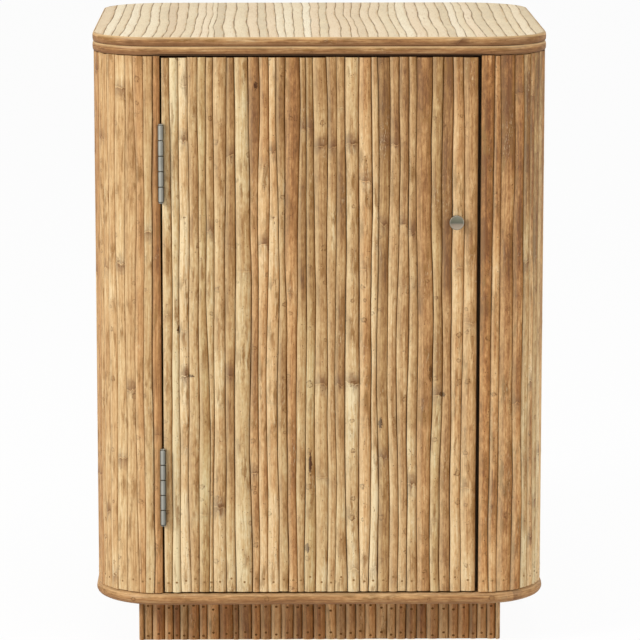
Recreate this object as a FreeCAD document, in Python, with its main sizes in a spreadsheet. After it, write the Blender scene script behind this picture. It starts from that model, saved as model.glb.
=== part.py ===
import FreeCAD
import Part
import Sketcher
import math
import operator
import os
from types import SimpleNamespace

# Driving sizes in millimetres
SIZES = (
    ("overall_width", 450, "left to right over the trim canes"),
    ("overall_depth", 400, "front to back over the trim canes"),
    ("overall_height", 613, "floor to the sanded top"),
    ("corner_radius", 68, "upright corners, over the trim canes"),
    ("trim_proud", 1, "trim canes stand this far proud of the wall canes"),
    ("cane_pitch", 10, "nominal spacing of the split canes"),
    ("cane_thick", 4.5, "height of a split cane over its flat back"),
    ("cane_gap", 0.3, "gap between neighbouring canes"),
    ("cane_end_gap", 0.2, "gap at the end of a cane"),
    ("glue_gap", 0.1, "glue line beside a bent cane"),
    ("wall_thick", 12, "plywood of the walls and corners"),
    ("top_trim_height", 9, "each of the two split canes bent round the top"),
    ("top_trim_thick", 2.5, "split cane of the top trim, over its flat back"),
    ("top_cane_pitch", 9.4, "nominal spacing of the top canes"),
    ("top_cane_thick", 4, "top canes after sanding"),
    ("top_cane_edge", 0.8, "edge left on the sanded top canes"),
    ("base_trim_dia", 12.5, "bent cane round the base"),
    ("plinth_height", 46.5, "floor to the bottom board"),
    ("plinth_inset", 43, "plinth canes set back from the trim"),
    ("plinth_thick", 12, "plywood of the plinth"),
    ("floor_gap", 0.5, "plinth canes end this far above the floor"),
    ("block_size", 26, "plinth corner blocks, square"),
    ("block_height", 30, "plinth corner blocks"),
    ("cleat_size", 18, "cleats between the side panels and the boards, square"),
    ("door_gap", 3, "beside the door"),
    ("door_top_gap", 1.5, "above the door"),
    ("door_base_gap", 1.2, "below the door"),
    ("door_thick", 15, "plywood of the door"),
    ("rest_gap", 0.4, "closed door to what it rests against"),
    ("stile_width", 20, "solid stile behind each front corner"),
    ("stile_depth", 34, "stile, front to back"),
    ("stop_width", 10, "door stop, into the opening"),
    ("stop_depth", 12, "door stop, front to back"),
    ("shelf_thick", 12, "plywood of the shelf"),
    ("shelf_rise", 257, "underside of the shelf above the bottom board"),
    ("shelf_gap", 0.5, "shelf to the walls beside it"),
    ("shelf_pin_dia", 6, "shelf pins"),
    ("shelf_pin_reach", 9, "shelf pin, out of the wall and into it"),
    ("shelf_pin_inset", 45, "shelf pins from the ends of the side panel"),
    ("upper_hinge_drop", 103.5, "middle of the upper hinge below the door's top"),
    ("lower_hinge_rise", 107.5, "middle of the lower hinge above the door's base"),
    ("hinge_length", 76, "height of a hinge"),
    ("leaf_thick", 1.2, "sheet of a hinge leaf"),
    ("leaf_depth", 19, "hinge leaf, back from the barrel's middle"),
    ("leaf_relief", 0.5, "leaf cut clear of the other leaf's knuckles"),
    ("knuckle_dia", 6, "hinge barrel"),
    ("knuckle_gap", 0.3, "between neighbouring knuckles"),
    ("barrel_stand", 2, "barrel's middle in front of the cane crowns"),
    ("hinge_pin_dia", 3, "hinge pin"),
    ("pin_head_dia", 4.6, "ends of the hinge pin"),
    ("pin_head_height", 0.9, "ends of the hinge pin"),
    ("pin_running_gap", 0.05, "door knuckles round the pin, on the radius"),
    ("leaf_screw_dia", 3, "hinge and strike screws"),
    ("leaf_screw_head", 5.6, "hinge and strike screws"),
    ("leaf_screw_cone", 1.1, "countersink of a hinge or strike screw"),
    ("leaf_screw_length", 12, "hinge and strike screws"),
    ("leaf_screw_end", 12, "outer screws from the ends of a leaf"),
    ("leaf_screw_inset", 6, "screw from the leaf's rear edge"),
    ("board_screw_dia", 4, "screws through cleats and blocks"),
    ("board_screw_head", 8, "screws through cleats and blocks"),
    ("board_screw_cone", 2.2, "countersink of a board screw"),
    ("cleat_screw_length", 28, "screws through the cleats"),
    ("cleat_screw_inset", 34, "outer screws from the ends of a cleat"),
    ("block_screw_length", 38, "screws through the corner blocks"),
    ("screw_gap", 0.05, "screw in its hole, on the radius"),
    ("knob_dia", 14.5, "knob, across its face"),
    ("knob_neck_dia", 9, "knob, where it meets the canes"),
    ("knob_reach", 8, "knob, out from the cane crowns"),
    ("knob_rim", 2.2, "thickness of the knob's rim"),
    ("knob_bevel", 1.6, "bevel round the knob's face"),
    ("knob_inset", 21, "middle of the knob from the door's free edge"),
    ("knob_drop", 161.5, "middle of the knob below the door's top"),
    ("knob_screw_dia", 4, "screw from inside the door into the knob"),
    ("knob_screw_head", 9, "washer head of the knob screw"),
    ("knob_screw_cap", 2, "thickness of that head"),
    ("knob_screw_bite", 4.5, "knob screw inside the knob"),
    ("catch_inset", 46, "middle of the magnetic catch from the door's free edge"),
    ("catch_length", 46, "magnetic catch, left to right"),
    ("catch_depth", 15, "magnetic catch, front to back"),
    ("catch_height", 13, "magnetic catch, down from the top board"),
    ("catch_wall", 2.5, "plastic above and below the magnet"),
    ("catch_screw_end", 6, "catch screws from its ends"),
    ("catch_screw_length", 22, "catch screws"),
    ("magnet_length", 24, "magnet, left to right"),
    ("magnet_depth", 10, "magnet, front to back"),
    ("pole_thick", 1.5, "steel pole plates above and below the magnet"),
    ("pole_reach", 0.8, "pole plates out of the plastic"),
    ("strike_length", 36, "strike plate"),
    ("strike_height", 9, "strike plate"),
    ("strike_thick", 1.2, "strike plate"),
    ("strike_screw_end", 4, "strike screws from its ends"),
)
KNUCKLES = 5
QUARTER_TURN = 90
DIAGONAL_SHARE = math.sqrt(0.5)

X_AXIS = FreeCAD.Vector(1, 0, 0)
Y_AXIS = FreeCAD.Vector(0, 1, 0)
Z_AXIS = FreeCAD.Vector(0, 0, 1)
UPWARD = FreeCAD.Rotation()
DOWNWARD = FreeCAD.Rotation(X_AXIS, 2 * QUARTER_TURN)
FORWARD = FreeCAD.Rotation(X_AXIS, QUARTER_TURN)
RIGHTWARD = FreeCAD.Rotation(Y_AXIS, QUARTER_TURN)
LEFTWARD = FreeCAD.Rotation(Y_AXIS, -QUARTER_TURN)

doc = FreeCAD.newDocument("storage_side_table")
sheet = doc.addObject("Spreadsheet::Sheet", "Sizes")
for line, (alias, number, note) in enumerate(SIZES, start=1):
    sheet.set(f"A{line}", note)
    sheet.set(f"B{line}", str(number))
    sheet.setAlias(f"B{line}", alias)
doc.recompute()

subparts = []


# Sizes worked out from the sheet

OPERATIONS = {"+": operator.add, "-": operator.sub, "*": operator.mul, "/": operator.truediv}


class Formula:
    """A size worked out from the sheet: its expression and its present value."""

    def __init__(self, text, value):
        self.text = text
        self.value = value

    def __add__(self, other):
        return combine(self, "+", other)

    def __sub__(self, other):
        return combine(self, "-", other)

    def __mul__(self, other):
        return combine(self, "*", other)

    def __truediv__(self, other):
        return combine(self, "/", other)

    def __radd__(self, other):
        return combine(other, "+", self)

    def __rsub__(self, other):
        return combine(other, "-", self)

    def __rmul__(self, other):
        return combine(other, "*", self)

    def __rtruediv__(self, other):
        return combine(other, "/", self)

    def __neg__(self):
        return combine(0, "-", self)


def as_formula(size):
    return size if isinstance(size, Formula) else Formula(str(size), size)


def combine(left, sign, right):
    left = as_formula(left)
    right = as_formula(right)
    value = OPERATIONS[sign](left.value, right.value)
    return Formula(f"({left.text} {sign} {right.text})", value)


def nearest_whole(size):
    return Formula(f"round({size.text})", round(size.value))


s = SimpleNamespace(**{alias: Formula(f"Sizes.{alias}", float(sheet.get(alias))) for alias, _, _ in SIZES})

half_width = s.overall_width / 2
half_depth = s.overall_depth / 2
corner_x = half_width - s.corner_radius
corner_y = half_depth - s.corner_radius
wall_inset = s.trim_proud + s.cane_thick
wall_x = half_width - wall_inset
wall_y = half_depth - wall_inset
wall_radius = s.corner_radius - wall_inset
room_x = wall_x - s.wall_thick
room_y = wall_y - s.wall_thick
room_radius = wall_radius - s.wall_thick
wall_base = s.plinth_height + s.base_trim_dia
wall_top = s.overall_height - 2 * s.top_trim_height
top_face = s.overall_height - s.top_cane_thick
crown_y = s.trim_proud - half_depth
door_x = corner_x - s.door_gap
door_front = -wall_y
door_rear = door_front + s.door_thick
door_base = wall_base + s.door_base_gap
door_top = wall_top - s.door_top_gap
barrel_x = s.door_gap / 2 - corner_x
barrel_y = crown_y - s.barrel_stand
knob_x = door_x - s.knob_inset
knob_z = door_top - s.knob_drop
catch_x = door_x - s.catch_inset
shelf_base = wall_base + s.shelf_rise
plinth_x = half_width - s.plinth_inset - s.cane_thick
plinth_y = half_depth - s.plinth_inset - s.cane_thick


# Document objects bound to the sheet


def bind(item, prop, size):
    size = as_formula(size)
    item.setExpression(prop, size.text)


def place(item, x, y, z, turn=UPWARD):
    item.Placement = FreeCAD.Placement(FreeCAD.Vector(), turn)
    bind(item, "Placement.Base.x", x)
    bind(item, "Placement.Base.y", y)
    bind(item, "Placement.Base.z", z)
    return item


def keep(item, label):
    item.Label = label
    subparts.append(item)
    return item


def block(x_span, y_span, z_span):
    box = doc.addObject("Part::Box", "block")
    for side, (low, high) in zip(("Length", "Width", "Height"), (x_span, y_span, z_span)):
        bind(box, side, high - low)
    return place(box, x_span[0], y_span[0], z_span[0])


def rod(diameter, length, spot, turn=UPWARD):
    cylinder = doc.addObject("Part::Cylinder", "rod")
    bind(cylinder, "Radius", diameter / 2)
    bind(cylinder, "Height", length)
    return place(cylinder, *spot, turn)


def cone(start_diameter, end_diameter, length, spot, turn=UPWARD):
    taper = doc.addObject("Part::Cone", "cone")
    bind(taper, "Radius1", start_diameter / 2)
    bind(taper, "Radius2", end_diameter / 2)
    bind(taper, "Height", length)
    return place(taper, *spot, turn)


def join(*pieces):
    union = doc.addObject("Part::MultiFuse", "join")
    union.Shapes = list(pieces)
    return union


def group(*pieces):
    compound = doc.addObject("Part::Compound", "group")
    compound.Links = list(pieces)
    return compound


def cut(base, *tools):
    cutting = doc.addObject("Part::Cut", "cut")
    cutting.Base = base
    cutting.Tool = tools[0] if len(tools) == 1 else group(*tools)
    return cutting


def overlap(first, second):
    common = doc.addObject("Part::Common", "overlap")
    common.Base = first
    common.Tool = second
    return common


def new_body(name):
    return doc.addObject("PartDesign::Body", name)


def origin_of(body, role):
    return next(item for item in body.Origin.OriginFeatures if item.Role == role)


# Sketches


class Through:
    """Point that an arc passes through, between two corners of an outline."""

    def __init__(self, x, y):
        self.spot = (x, y)


def vector(spot):
    return FreeCAD.Vector(as_formula(spot[0]).value, as_formula(spot[1]).value, 0)


def pin_point(sketch, geometry, position, spot):
    """Hold a point of the sketch at a spot measured from the origin."""
    for kind, axis, size in zip(("DistanceX", "DistanceY"), (-2, -1), spot):
        if isinstance(size, Formula):
            rule = Sketcher.Constraint(kind, -1, 1, geometry, position, size.value)
            number = sketch.addConstraint(rule)
            sketch.renameConstraint(number, f"rule_{number}")
            bind(sketch, f"Constraints.rule_{number}", size)
        else:
            sketch.addConstraint(Sketcher.Constraint("PointOnObject", geometry, position, axis))


def new_sketch(body, role, name):
    sketch = body.newObject("Sketcher::SketchObject", name)
    sketch.AttachmentSupport = [(origin_of(body, role), "")]
    sketch.MapMode = "FlatFace"
    return sketch


def outline(body, role, name, path):
    """Closed sketch of straight lines and three-point arcs, each point bound to the sheet."""
    sketch = new_sketch(body, role, name)
    corners = [step for step in path if not isinstance(step, Through)]
    ends = []
    for number, corner in enumerate(corners):
        following = corners[(number + 1) % len(corners)]
        after = path[(path.index(corner) + 1) % len(path)]
        start, finish = vector(corner), vector(following)
        if isinstance(after, Through):
            middle = vector(after.spot)
            turns_left = (middle - start).cross(finish - middle).z > 0
            arc = Part.Arc(start, middle, finish) if turns_left else Part.Arc(finish, middle, start)
            edge = sketch.addGeometry(arc, False)
            ends.append((edge, 1, 2) if turns_left else (edge, 2, 1))
            point = sketch.addGeometry(Part.Point(middle), True)
            sketch.addConstraint(Sketcher.Constraint("PointOnObject", point, 1, edge))
            pin_point(sketch, point, 1, after.spot)
        else:
            ends.append((sketch.addGeometry(Part.LineSegment(start, finish), False), 1, 2))
    for number, (edge, first, _) in enumerate(ends):
        before, _, last = ends[number - 1]
        sketch.addConstraint(Sketcher.Constraint("Coincident", before, last, edge, first))
        pin_point(sketch, edge, first, corners[number])
    return sketch


def circle(body, role, name, diameter, spot):
    sketch = new_sketch(body, role, name)
    ring = Part.Circle(vector(spot), Z_AXIS, diameter.value / 2)
    edge = sketch.addGeometry(ring, False)
    number = sketch.addConstraint(Sketcher.Constraint("Diameter", edge, diameter.value))
    sketch.renameConstraint(number, "diameter")
    bind(sketch, "Constraints.diameter", diameter)
    pin_point(sketch, edge, 3, spot)
    return sketch


def rounded_rectangle(body, name, half_x, half_y, radius):
    flat_x = half_x - radius
    flat_y = half_y - radius
    bend_x = flat_x + radius * DIAGONAL_SHARE
    bend_y = flat_y + radius * DIAGONAL_SHARE
    path = [
        (-flat_x, -half_y),
        (flat_x, -half_y),
        Through(bend_x, -bend_y),
        (half_x, -flat_y),
        (half_x, flat_y),
        Through(bend_x, bend_y),
        (flat_x, half_y),
        (-flat_x, half_y),
        Through(-bend_x, bend_y),
        (-half_x, flat_y),
        (-half_x, -flat_y),
        Through(-bend_x, -bend_y),
    ]
    return outline(body, "XY_Plane", name, path)


# Features


def pad(body, sketch, length, midplane=False):
    feature = body.newObject("PartDesign::Pad", "pad")
    feature.Profile = sketch
    feature.Midplane = midplane
    bind(feature, "Length", length)
    sketch.Visibility = False
    return feature


def revolve(body, sketch, angle):
    feature = body.newObject("PartDesign::Revolution", "turning")
    feature.Profile = sketch
    feature.ReferenceAxis = (origin_of(body, "Z_Axis"), [""])
    feature.Angle = angle
    return feature


def row_along_x(body, feature, span, count):
    doc.recompute()
    pattern = body.newObject("PartDesign::LinearPattern", "row")
    pattern.Originals = [feature]
    pattern.Direction = (origin_of(body, "X_Axis"), [""])
    bind(pattern, "Length", span)
    bind(pattern, "Occurrences", count)
    body.Tip = pattern


def fan_about_z(body, feature, angle, count):
    doc.recompute()
    pattern = body.newObject("PartDesign::PolarPattern", "fan")
    pattern.Originals = [feature]
    pattern.Axis = (origin_of(body, "Z_Axis"), [""])
    bind(pattern, "Angle", angle)
    bind(pattern, "Occurrences", count)
    body.Tip = pattern


def rounded_slab(inset, base, top):
    """Board with the table's rounded plan, set in from the trim faces."""
    body = new_body("slab")
    plan = rounded_rectangle(
        body, "plan", half_width - inset, half_depth - inset, s.corner_radius - inset
    )
    pad(body, plan, top - base)
    return place(body, 0, 0, base)


# Canes


def split_cane(body, width, middle, back):
    """Section of a cane split along its length: flat back at local Y = -back, crown towards -Y."""
    path = [
        (middle - width / 2, -back),
        Through(middle, -(back + s.cane_thick)),
        (middle + width / 2, -back),
    ]
    return outline(body, "XY_Plane", "section", path)


def cane_row(run, length):
    """Split canes standing side by side along local X, centred on the body's origin."""
    count = nearest_whole(run / s.cane_pitch)
    spacing = run / count
    body = new_body("cane_row")
    section = split_cane(body, spacing - s.cane_gap, (spacing - run) / 2, 0)
    cane = pad(body, section, length)
    row_along_x(body, cane, run - spacing, count)
    return body


def wall_canes(label, run, x, y, turn, base, top):
    body = cane_row(run, top - base)
    keep(place(body, x, y, base, FreeCAD.Rotation(Z_AXIS, turn)), label)


def corner_canes(label, x, y, turn):
    """Split canes standing round one corner, from one flat wall to the next."""
    base = wall_base + s.cane_end_gap
    top = wall_top - s.cane_end_gap
    arc = wall_radius * (math.pi / 2)
    count = nearest_whole(arc / s.cane_pitch)
    step = QUARTER_TURN / count
    body = new_body("cane_fan")
    section = split_cane(body, arc / count - s.cane_gap, 0, wall_radius)
    cane = pad(body, section, top - base)
    fan_about_z(body, cane, QUARTER_TURN - step, count)
    place(body, x, y, base, FreeCAD.Rotation(Z_AXIS, turn))
    bind(body, "Placement.Rotation.Angle", turn + step / 2)
    keep(body, label)


def clad_walls():
    base = wall_base + s.cane_end_gap
    top = wall_top - s.cane_end_gap
    wall_canes("right_side_canes", 2 * corner_y, wall_x, 0, QUARTER_TURN, base, top)
    wall_canes("back_canes", 2 * corner_x, 0, wall_y, 2 * QUARTER_TURN, base, top)
    wall_canes("left_side_canes", 2 * corner_y, -wall_x, 0, 3 * QUARTER_TURN, base, top)
    corner_canes("front_right_corner_canes", corner_x, -corner_y, 0)
    corner_canes("back_right_corner_canes", corner_x, corner_y, QUARTER_TURN)
    corner_canes("back_left_corner_canes", -corner_x, corner_y, 2 * QUARTER_TURN)
    corner_canes("front_left_corner_canes", -corner_x, -corner_y, 3 * QUARTER_TURN)


def bend_round(body, section, inset):
    """Carry a section round the table in one loop, along a route this far in from the trim faces."""
    route = rounded_rectangle(
        body, "route", half_width - inset, half_depth - inset, s.corner_radius - inset
    )
    doc.recompute()
    loop = body.newObject("PartDesign::AdditivePipe", "loop")
    loop.Profile = section
    loop.Spine = (route, [f"Edge{number + 1}" for number in range(len(route.Shape.Edges))])
    return body


def make_base_trim():
    """Round cane bent round the base."""
    radius = s.base_trim_dia / 2
    body = new_body("round_trim")
    section = circle(body, "XZ_Plane", "section", s.base_trim_dia, (half_width - radius, 0))
    bend_round(body, section, radius)
    keep(place(body, 0, 0, s.plinth_height + radius), "base_trim")


def make_top_trim(label, height):
    """Split cane bent round the top, its flat back to the board's edge."""
    half = s.top_trim_height / 2
    back = half_width - s.top_trim_thick
    body = new_body("split_trim")
    section = outline(body, "XZ_Plane", "section", [(back, -half), Through(half_width, 0), (back, half)])
    bend_round(body, section, s.top_trim_thick)
    keep(place(body, 0, 0, height), label)


def lay_top_canes():
    """Canes laid front to back on the top board and sanded flat, cut to the rounded plan."""
    inset = s.top_trim_thick + s.glue_gap
    run = s.overall_width - 2 * inset
    count = nearest_whole(run / s.top_cane_pitch)
    spacing = run / count
    middle = (spacing - run) / 2
    half = (spacing - s.cane_gap) / 2
    shoulder = s.top_cane_thick - s.top_cane_edge
    sanded = half - s.top_cane_edge
    path = [
        (middle - half, 0),
        (middle + half, 0),
        (middle + half, shoulder),
        (middle + sanded, s.top_cane_thick),
        (middle - sanded, s.top_cane_thick),
        (middle - half, shoulder),
    ]
    body = new_body("top_cane_row")
    section = outline(body, "XZ_Plane", "section", path)
    cane = pad(body, section, s.overall_depth, midplane=True)
    row_along_x(body, cane, run - spacing, count)
    place(body, 0, 0, top_face)
    keep(overlap(body, rounded_slab(inset, top_face, s.overall_height)), "top_canes")


# Screws

leaf_screw = (s.leaf_screw_dia, s.leaf_screw_head, s.leaf_screw_cone, s.leaf_screw_length)
catch_screw = (s.leaf_screw_dia, s.leaf_screw_head, s.leaf_screw_cone, s.catch_screw_length)
cleat_screw = (s.board_screw_dia, s.board_screw_head, s.board_screw_cone, s.cleat_screw_length)
block_screw = (s.board_screw_dia, s.board_screw_head, s.board_screw_cone, s.block_screw_length)


def screw(kind, spot, turn):
    """Countersunk screw: its head lies at the spot and its shank runs along the turned Z axis."""
    shank, head, sink, length = kind
    return join(cone(head, shank, sink, spot, turn), rod(shank, length, spot, turn))


def screw_hole(kind, spot, turn):
    shank, head, sink, length = kind
    wider = 2 * s.screw_gap
    longer = length + s.screw_gap
    return join(cone(head + wider, shank + wider, sink, spot, turn), rod(shank + wider, longer, spot, turn))


def screws(label, kind, spots, turn):
    keep(group(*[screw(kind, spot, turn) for spot in spots]), label)


def holes(kind, spots, turn):
    return [screw_hole(kind, spot, turn) for spot in spots]


SIDES = (-1, 1)
leaf_screw_y = barrel_y + s.leaf_depth - s.leaf_screw_inset
frame_screw_x = s.leaf_thick - corner_x
door_screw_x = -(door_x + s.leaf_thick)
cleat_x = room_x - s.cleat_size / 2
block_x = plinth_x - s.plinth_thick - s.block_size / 2
block_y = plinth_y - s.plinth_thick - s.block_size / 2
block_base = s.plinth_height - s.block_height
catch_middle = wall_top - s.catch_height / 2
pole_front = door_rear + s.strike_thick + s.rest_gap
catch_front = pole_front + s.pole_reach
strike_rear = door_rear + s.strike_thick


def leaf_screw_spots(x, middle):
    pitch = s.hinge_length / 2 - s.leaf_screw_end
    return [(x, leaf_screw_y, middle + step * pitch) for step in (-1, 0, 1)]


def cleat_screw_spots(height):
    pitch = corner_y - s.cleat_screw_inset
    return [(side * cleat_x, step * pitch, height) for side in SIDES for step in (-1, 0, 1)]


block_screw_spots = [(a * block_x, b * block_y, block_base) for a in SIDES for b in SIDES]
catch_screw_across = s.catch_length / 2 - s.catch_screw_end
catch_screw_y = catch_front + s.catch_depth / 2
catch_base = wall_top - s.catch_height
catch_screw_spots = [(catch_x + side * catch_screw_across, catch_screw_y, catch_base) for side in SIDES]
strike_screw_across = s.strike_length / 2 - s.strike_screw_end
strike_screw_spots = [(catch_x + side * strike_screw_across, strike_rear, catch_middle) for side in SIDES]
top_cleat_spots = cleat_screw_spots(wall_top - s.cleat_size)
bottom_cleat_spots = cleat_screw_spots(wall_base + s.cleat_size)
hinge_heights = {"upper": door_top - s.upper_hinge_drop, "lower": door_base + s.lower_hinge_rise}
frame_screw_spots = {name: leaf_screw_spots(frame_screw_x, z) for name, z in hinge_heights.items()}
door_screw_spots = {name: leaf_screw_spots(door_screw_x, z) for name, z in hinge_heights.items()}


# Carcass


def make_boards():
    top = rounded_slab(s.top_trim_thick + s.glue_gap, wall_top, top_face)
    top_holes = holes(cleat_screw, top_cleat_spots, UPWARD) + holes(catch_screw, catch_screw_spots, UPWARD)
    keep(cut(top, *top_holes), "top_board")
    bottom = rounded_slab(s.base_trim_dia + s.glue_gap, s.plinth_height, wall_base)
    bottom_holes = holes(cleat_screw, bottom_cleat_spots, DOWNWARD)
    bottom_holes += holes(block_screw, block_screw_spots, UPWARD)
    keep(cut(bottom, *bottom_holes), "bottom_board")


def shelf_pin(side, end, gap):
    """Pin half in the side panel and half under the shelf, or its hole a gap wider all round."""
    reach = s.shelf_pin_reach + gap
    spot = (side * room_x - reach, end * (corner_y - s.shelf_pin_inset), shelf_base - s.shelf_pin_dia / 2)
    return rod(s.shelf_pin_dia + 2 * gap, 2 * reach, spot, RIGHTWARD)


def make_walls():
    heights = (wall_base, wall_top)
    length = (-corner_y, corner_y)
    left = block((-wall_x, -room_x), length, heights)
    keep(cut(left, *[shelf_pin(-1, end, s.screw_gap) for end in SIDES]), "left_side_panel")
    right = block((room_x, wall_x), length, heights)
    keep(cut(right, *[shelf_pin(1, end, s.screw_gap) for end in SIDES]), "right_side_panel")
    keep(block((-corner_x, corner_x), (room_y, wall_y), heights), "back_panel")


def bent_corner(x, y, turn):
    """Quarter of an upright plywood tube between two flat walls."""
    body = new_body("bent_corner")
    height = wall_top - wall_base
    path = [(room_radius, 0), (wall_radius, 0), (wall_radius, height), (room_radius, height)]
    revolve(body, outline(body, "XZ_Plane", "section", path), QUARTER_TURN)
    return place(body, x, y, wall_base, FreeCAD.Rotation(Z_AXIS, turn))


def make_corners():
    keep(bent_corner(corner_x, corner_y, 0), "back_right_corner")
    keep(bent_corner(-corner_x, corner_y, QUARTER_TURN), "back_left_corner")
    keep(bent_corner(corner_x, -corner_y, 3 * QUARTER_TURN), "front_right_corner")
    hinge_side = bent_corner(-corner_x, -corner_y, 2 * QUARTER_TURN)
    drilled = [hole for spots in frame_screw_spots.values() for hole in holes(leaf_screw, spots, LEFTWARD)]
    keep(cut(hinge_side, *drilled), "front_left_corner")


def make_stiles():
    """Solid stiles fitted into the hollow of the front corners, and the stop that the door meets."""
    depth = (-room_y, s.stile_depth - room_y)
    heights = (wall_base, wall_top)
    for label, side in (("hinge_stile", -1), ("catch_stile", 1)):
        edges = (corner_x, corner_x + s.stile_width)
        span = edges if side > 0 else (-edges[1], -edges[0])
        hollow = rod(
            2 * (room_radius - s.glue_gap), wall_top - wall_base, (side * corner_x, -corner_y, wall_base)
        )
        keep(overlap(block(span, depth, heights), hollow), label)
    stop_front = door_rear + s.rest_gap
    stop_span = (corner_x - s.stop_width, corner_x)
    keep(block(stop_span, (stop_front, stop_front + s.stop_depth), heights), "door_stop")


def make_cleats():
    """Square cleats that tie the side panels to the top and bottom boards."""
    length = (-corner_y, corner_y)
    levels = (
        ("top_cleats", (wall_top - s.cleat_size, wall_top), top_cleat_spots, UPWARD),
        ("bottom_cleats", (wall_base, wall_base + s.cleat_size), bottom_cleat_spots, DOWNWARD),
    )
    for label, heights, spots, turn in levels:
        left = block((-room_x, s.cleat_size - room_x), length, heights)
        right = block((room_x - s.cleat_size, room_x), length, heights)
        keep(cut(group(left, right), *holes(cleat_screw, spots, turn)), label)
    screws("top_cleat_screws", cleat_screw, top_cleat_spots, UPWARD)
    screws("bottom_cleat_screws", cleat_screw, bottom_cleat_spots, DOWNWARD)


def make_shelf():
    """Loose shelf with its rear corners rounded to the bent corners, on four pins."""
    side = room_x - s.shelf_gap
    rear = room_y - s.shelf_gap
    radius = room_radius - s.shelf_gap
    bend = radius * DIAGONAL_SHARE
    flat_x = side - radius
    flat_y = rear - radius
    path = [
        (-side, -corner_y),
        (side, -corner_y),
        (side, flat_y),
        Through(flat_x + bend, flat_y + bend),
        (flat_x, rear),
        (-flat_x, rear),
        Through(-(flat_x + bend), flat_y + bend),
        (-side, flat_y),
    ]
    body = new_body("shelf_body")
    pad(body, outline(body, "XY_Plane", "plan", path), s.shelf_thick)
    keep(place(body, 0, 0, shelf_base), "shelf")
    keep(group(*[shelf_pin(a, b, 0) for a in SIDES for b in SIDES]), "shelf_pins")


def make_plinth():
    heights = (0, s.plinth_height)
    inner_x = plinth_x - s.plinth_thick
    inner_y = plinth_y - s.plinth_thick
    keep(block((-plinth_x, plinth_x), (-plinth_y, -inner_y), heights), "plinth_front_board")
    keep(block((-plinth_x, plinth_x), (inner_y, plinth_y), heights), "plinth_back_board")
    keep(block((-plinth_x, -inner_x), (-inner_y, inner_y), heights), "plinth_left_board")
    keep(block((inner_x, plinth_x), (-inner_y, inner_y), heights), "plinth_right_board")
    half = s.block_size / 2
    blocks = [
        block((x - half, x + half), (y - half, y + half), (block_base, s.plinth_height))
        for x, y, _ in block_screw_spots
    ]
    keep(cut(group(*blocks), *holes(block_screw, block_screw_spots, UPWARD)), "plinth_corner_blocks")
    screws("plinth_screws", block_screw, block_screw_spots, UPWARD)


def clad_plinth():
    base = s.floor_gap
    top = s.plinth_height - s.cane_end_gap
    wall_canes("plinth_front_canes", 2 * plinth_x, 0, -plinth_y, 0, base, top)
    wall_canes("plinth_right_canes", 2 * plinth_y, plinth_x, 0, QUARTER_TURN, base, top)
    wall_canes("plinth_back_canes", 2 * plinth_x, 0, plinth_y, 2 * QUARTER_TURN, base, top)
    wall_canes("plinth_left_canes", 2 * plinth_y, -plinth_x, 0, 3 * QUARTER_TURN, base, top)
    corners = []
    for number, (a, b) in enumerate(((1, 1), (-1, 1), (-1, -1), (1, -1))):
        turn = FreeCAD.Rotation(Z_AXIS, number * QUARTER_TURN)
        quarter = rod(2 * s.cane_thick, top - base, (a * plinth_x, b * plinth_y, base), turn)
        quarter.Angle = QUARTER_TURN
        corners.append(quarter)
    keep(group(*corners), "plinth_corner_canes")


# Door


def make_door():
    width = (-door_x, door_x)
    heights = (door_base, door_top)
    drilled = [hole for spots in door_screw_spots.values() for hole in holes(leaf_screw, spots, RIGHTWARD)]
    drilled += holes(leaf_screw, strike_screw_spots, FORWARD)
    board = block(width, (door_front, door_rear), heights)
    keep(cut(board, *drilled, knob_bolt(s.screw_gap)), "door_board")
    canes = place(cane_row(2 * door_x, door_top - door_base), 0, door_front, door_base)
    keep(cut(canes, knob_bolt(s.screw_gap)), "door_canes")


def knob_bolt(gap):
    """Shank of the knob screw, from the door's rear face into the knob."""
    length = door_rear - crown_y + s.knob_screw_bite + gap
    return rod(s.knob_screw_dia + 2 * gap, length, (knob_x, door_rear, knob_z), FORWARD)


def make_knob():
    """Turned knob with a neck, a rim and a bevelled face."""
    neck = s.knob_neck_dia / 2
    rim = s.knob_dia / 2
    edge = s.knob_reach - s.knob_bevel
    under = edge - s.knob_rim
    path = [
        (0, 0),
        (neck, 0),
        (neck, under),
        (rim, under),
        (rim, edge),
        (rim - s.knob_bevel, s.knob_reach),
        (0, s.knob_reach),
    ]
    body = new_body("knob_body")
    revolve(body, outline(body, "XZ_Plane", "section", path), 4 * QUARTER_TURN)
    place(body, knob_x, crown_y, knob_z, FORWARD)
    keep(cut(body, knob_bolt(s.screw_gap)), "knob")
    head_spot = (knob_x, door_rear + s.knob_screw_cap, knob_z)
    keep(join(knob_bolt(0), rod(s.knob_screw_head, s.knob_screw_cap, head_spot, FORWARD)), "knob_screw")


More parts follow.
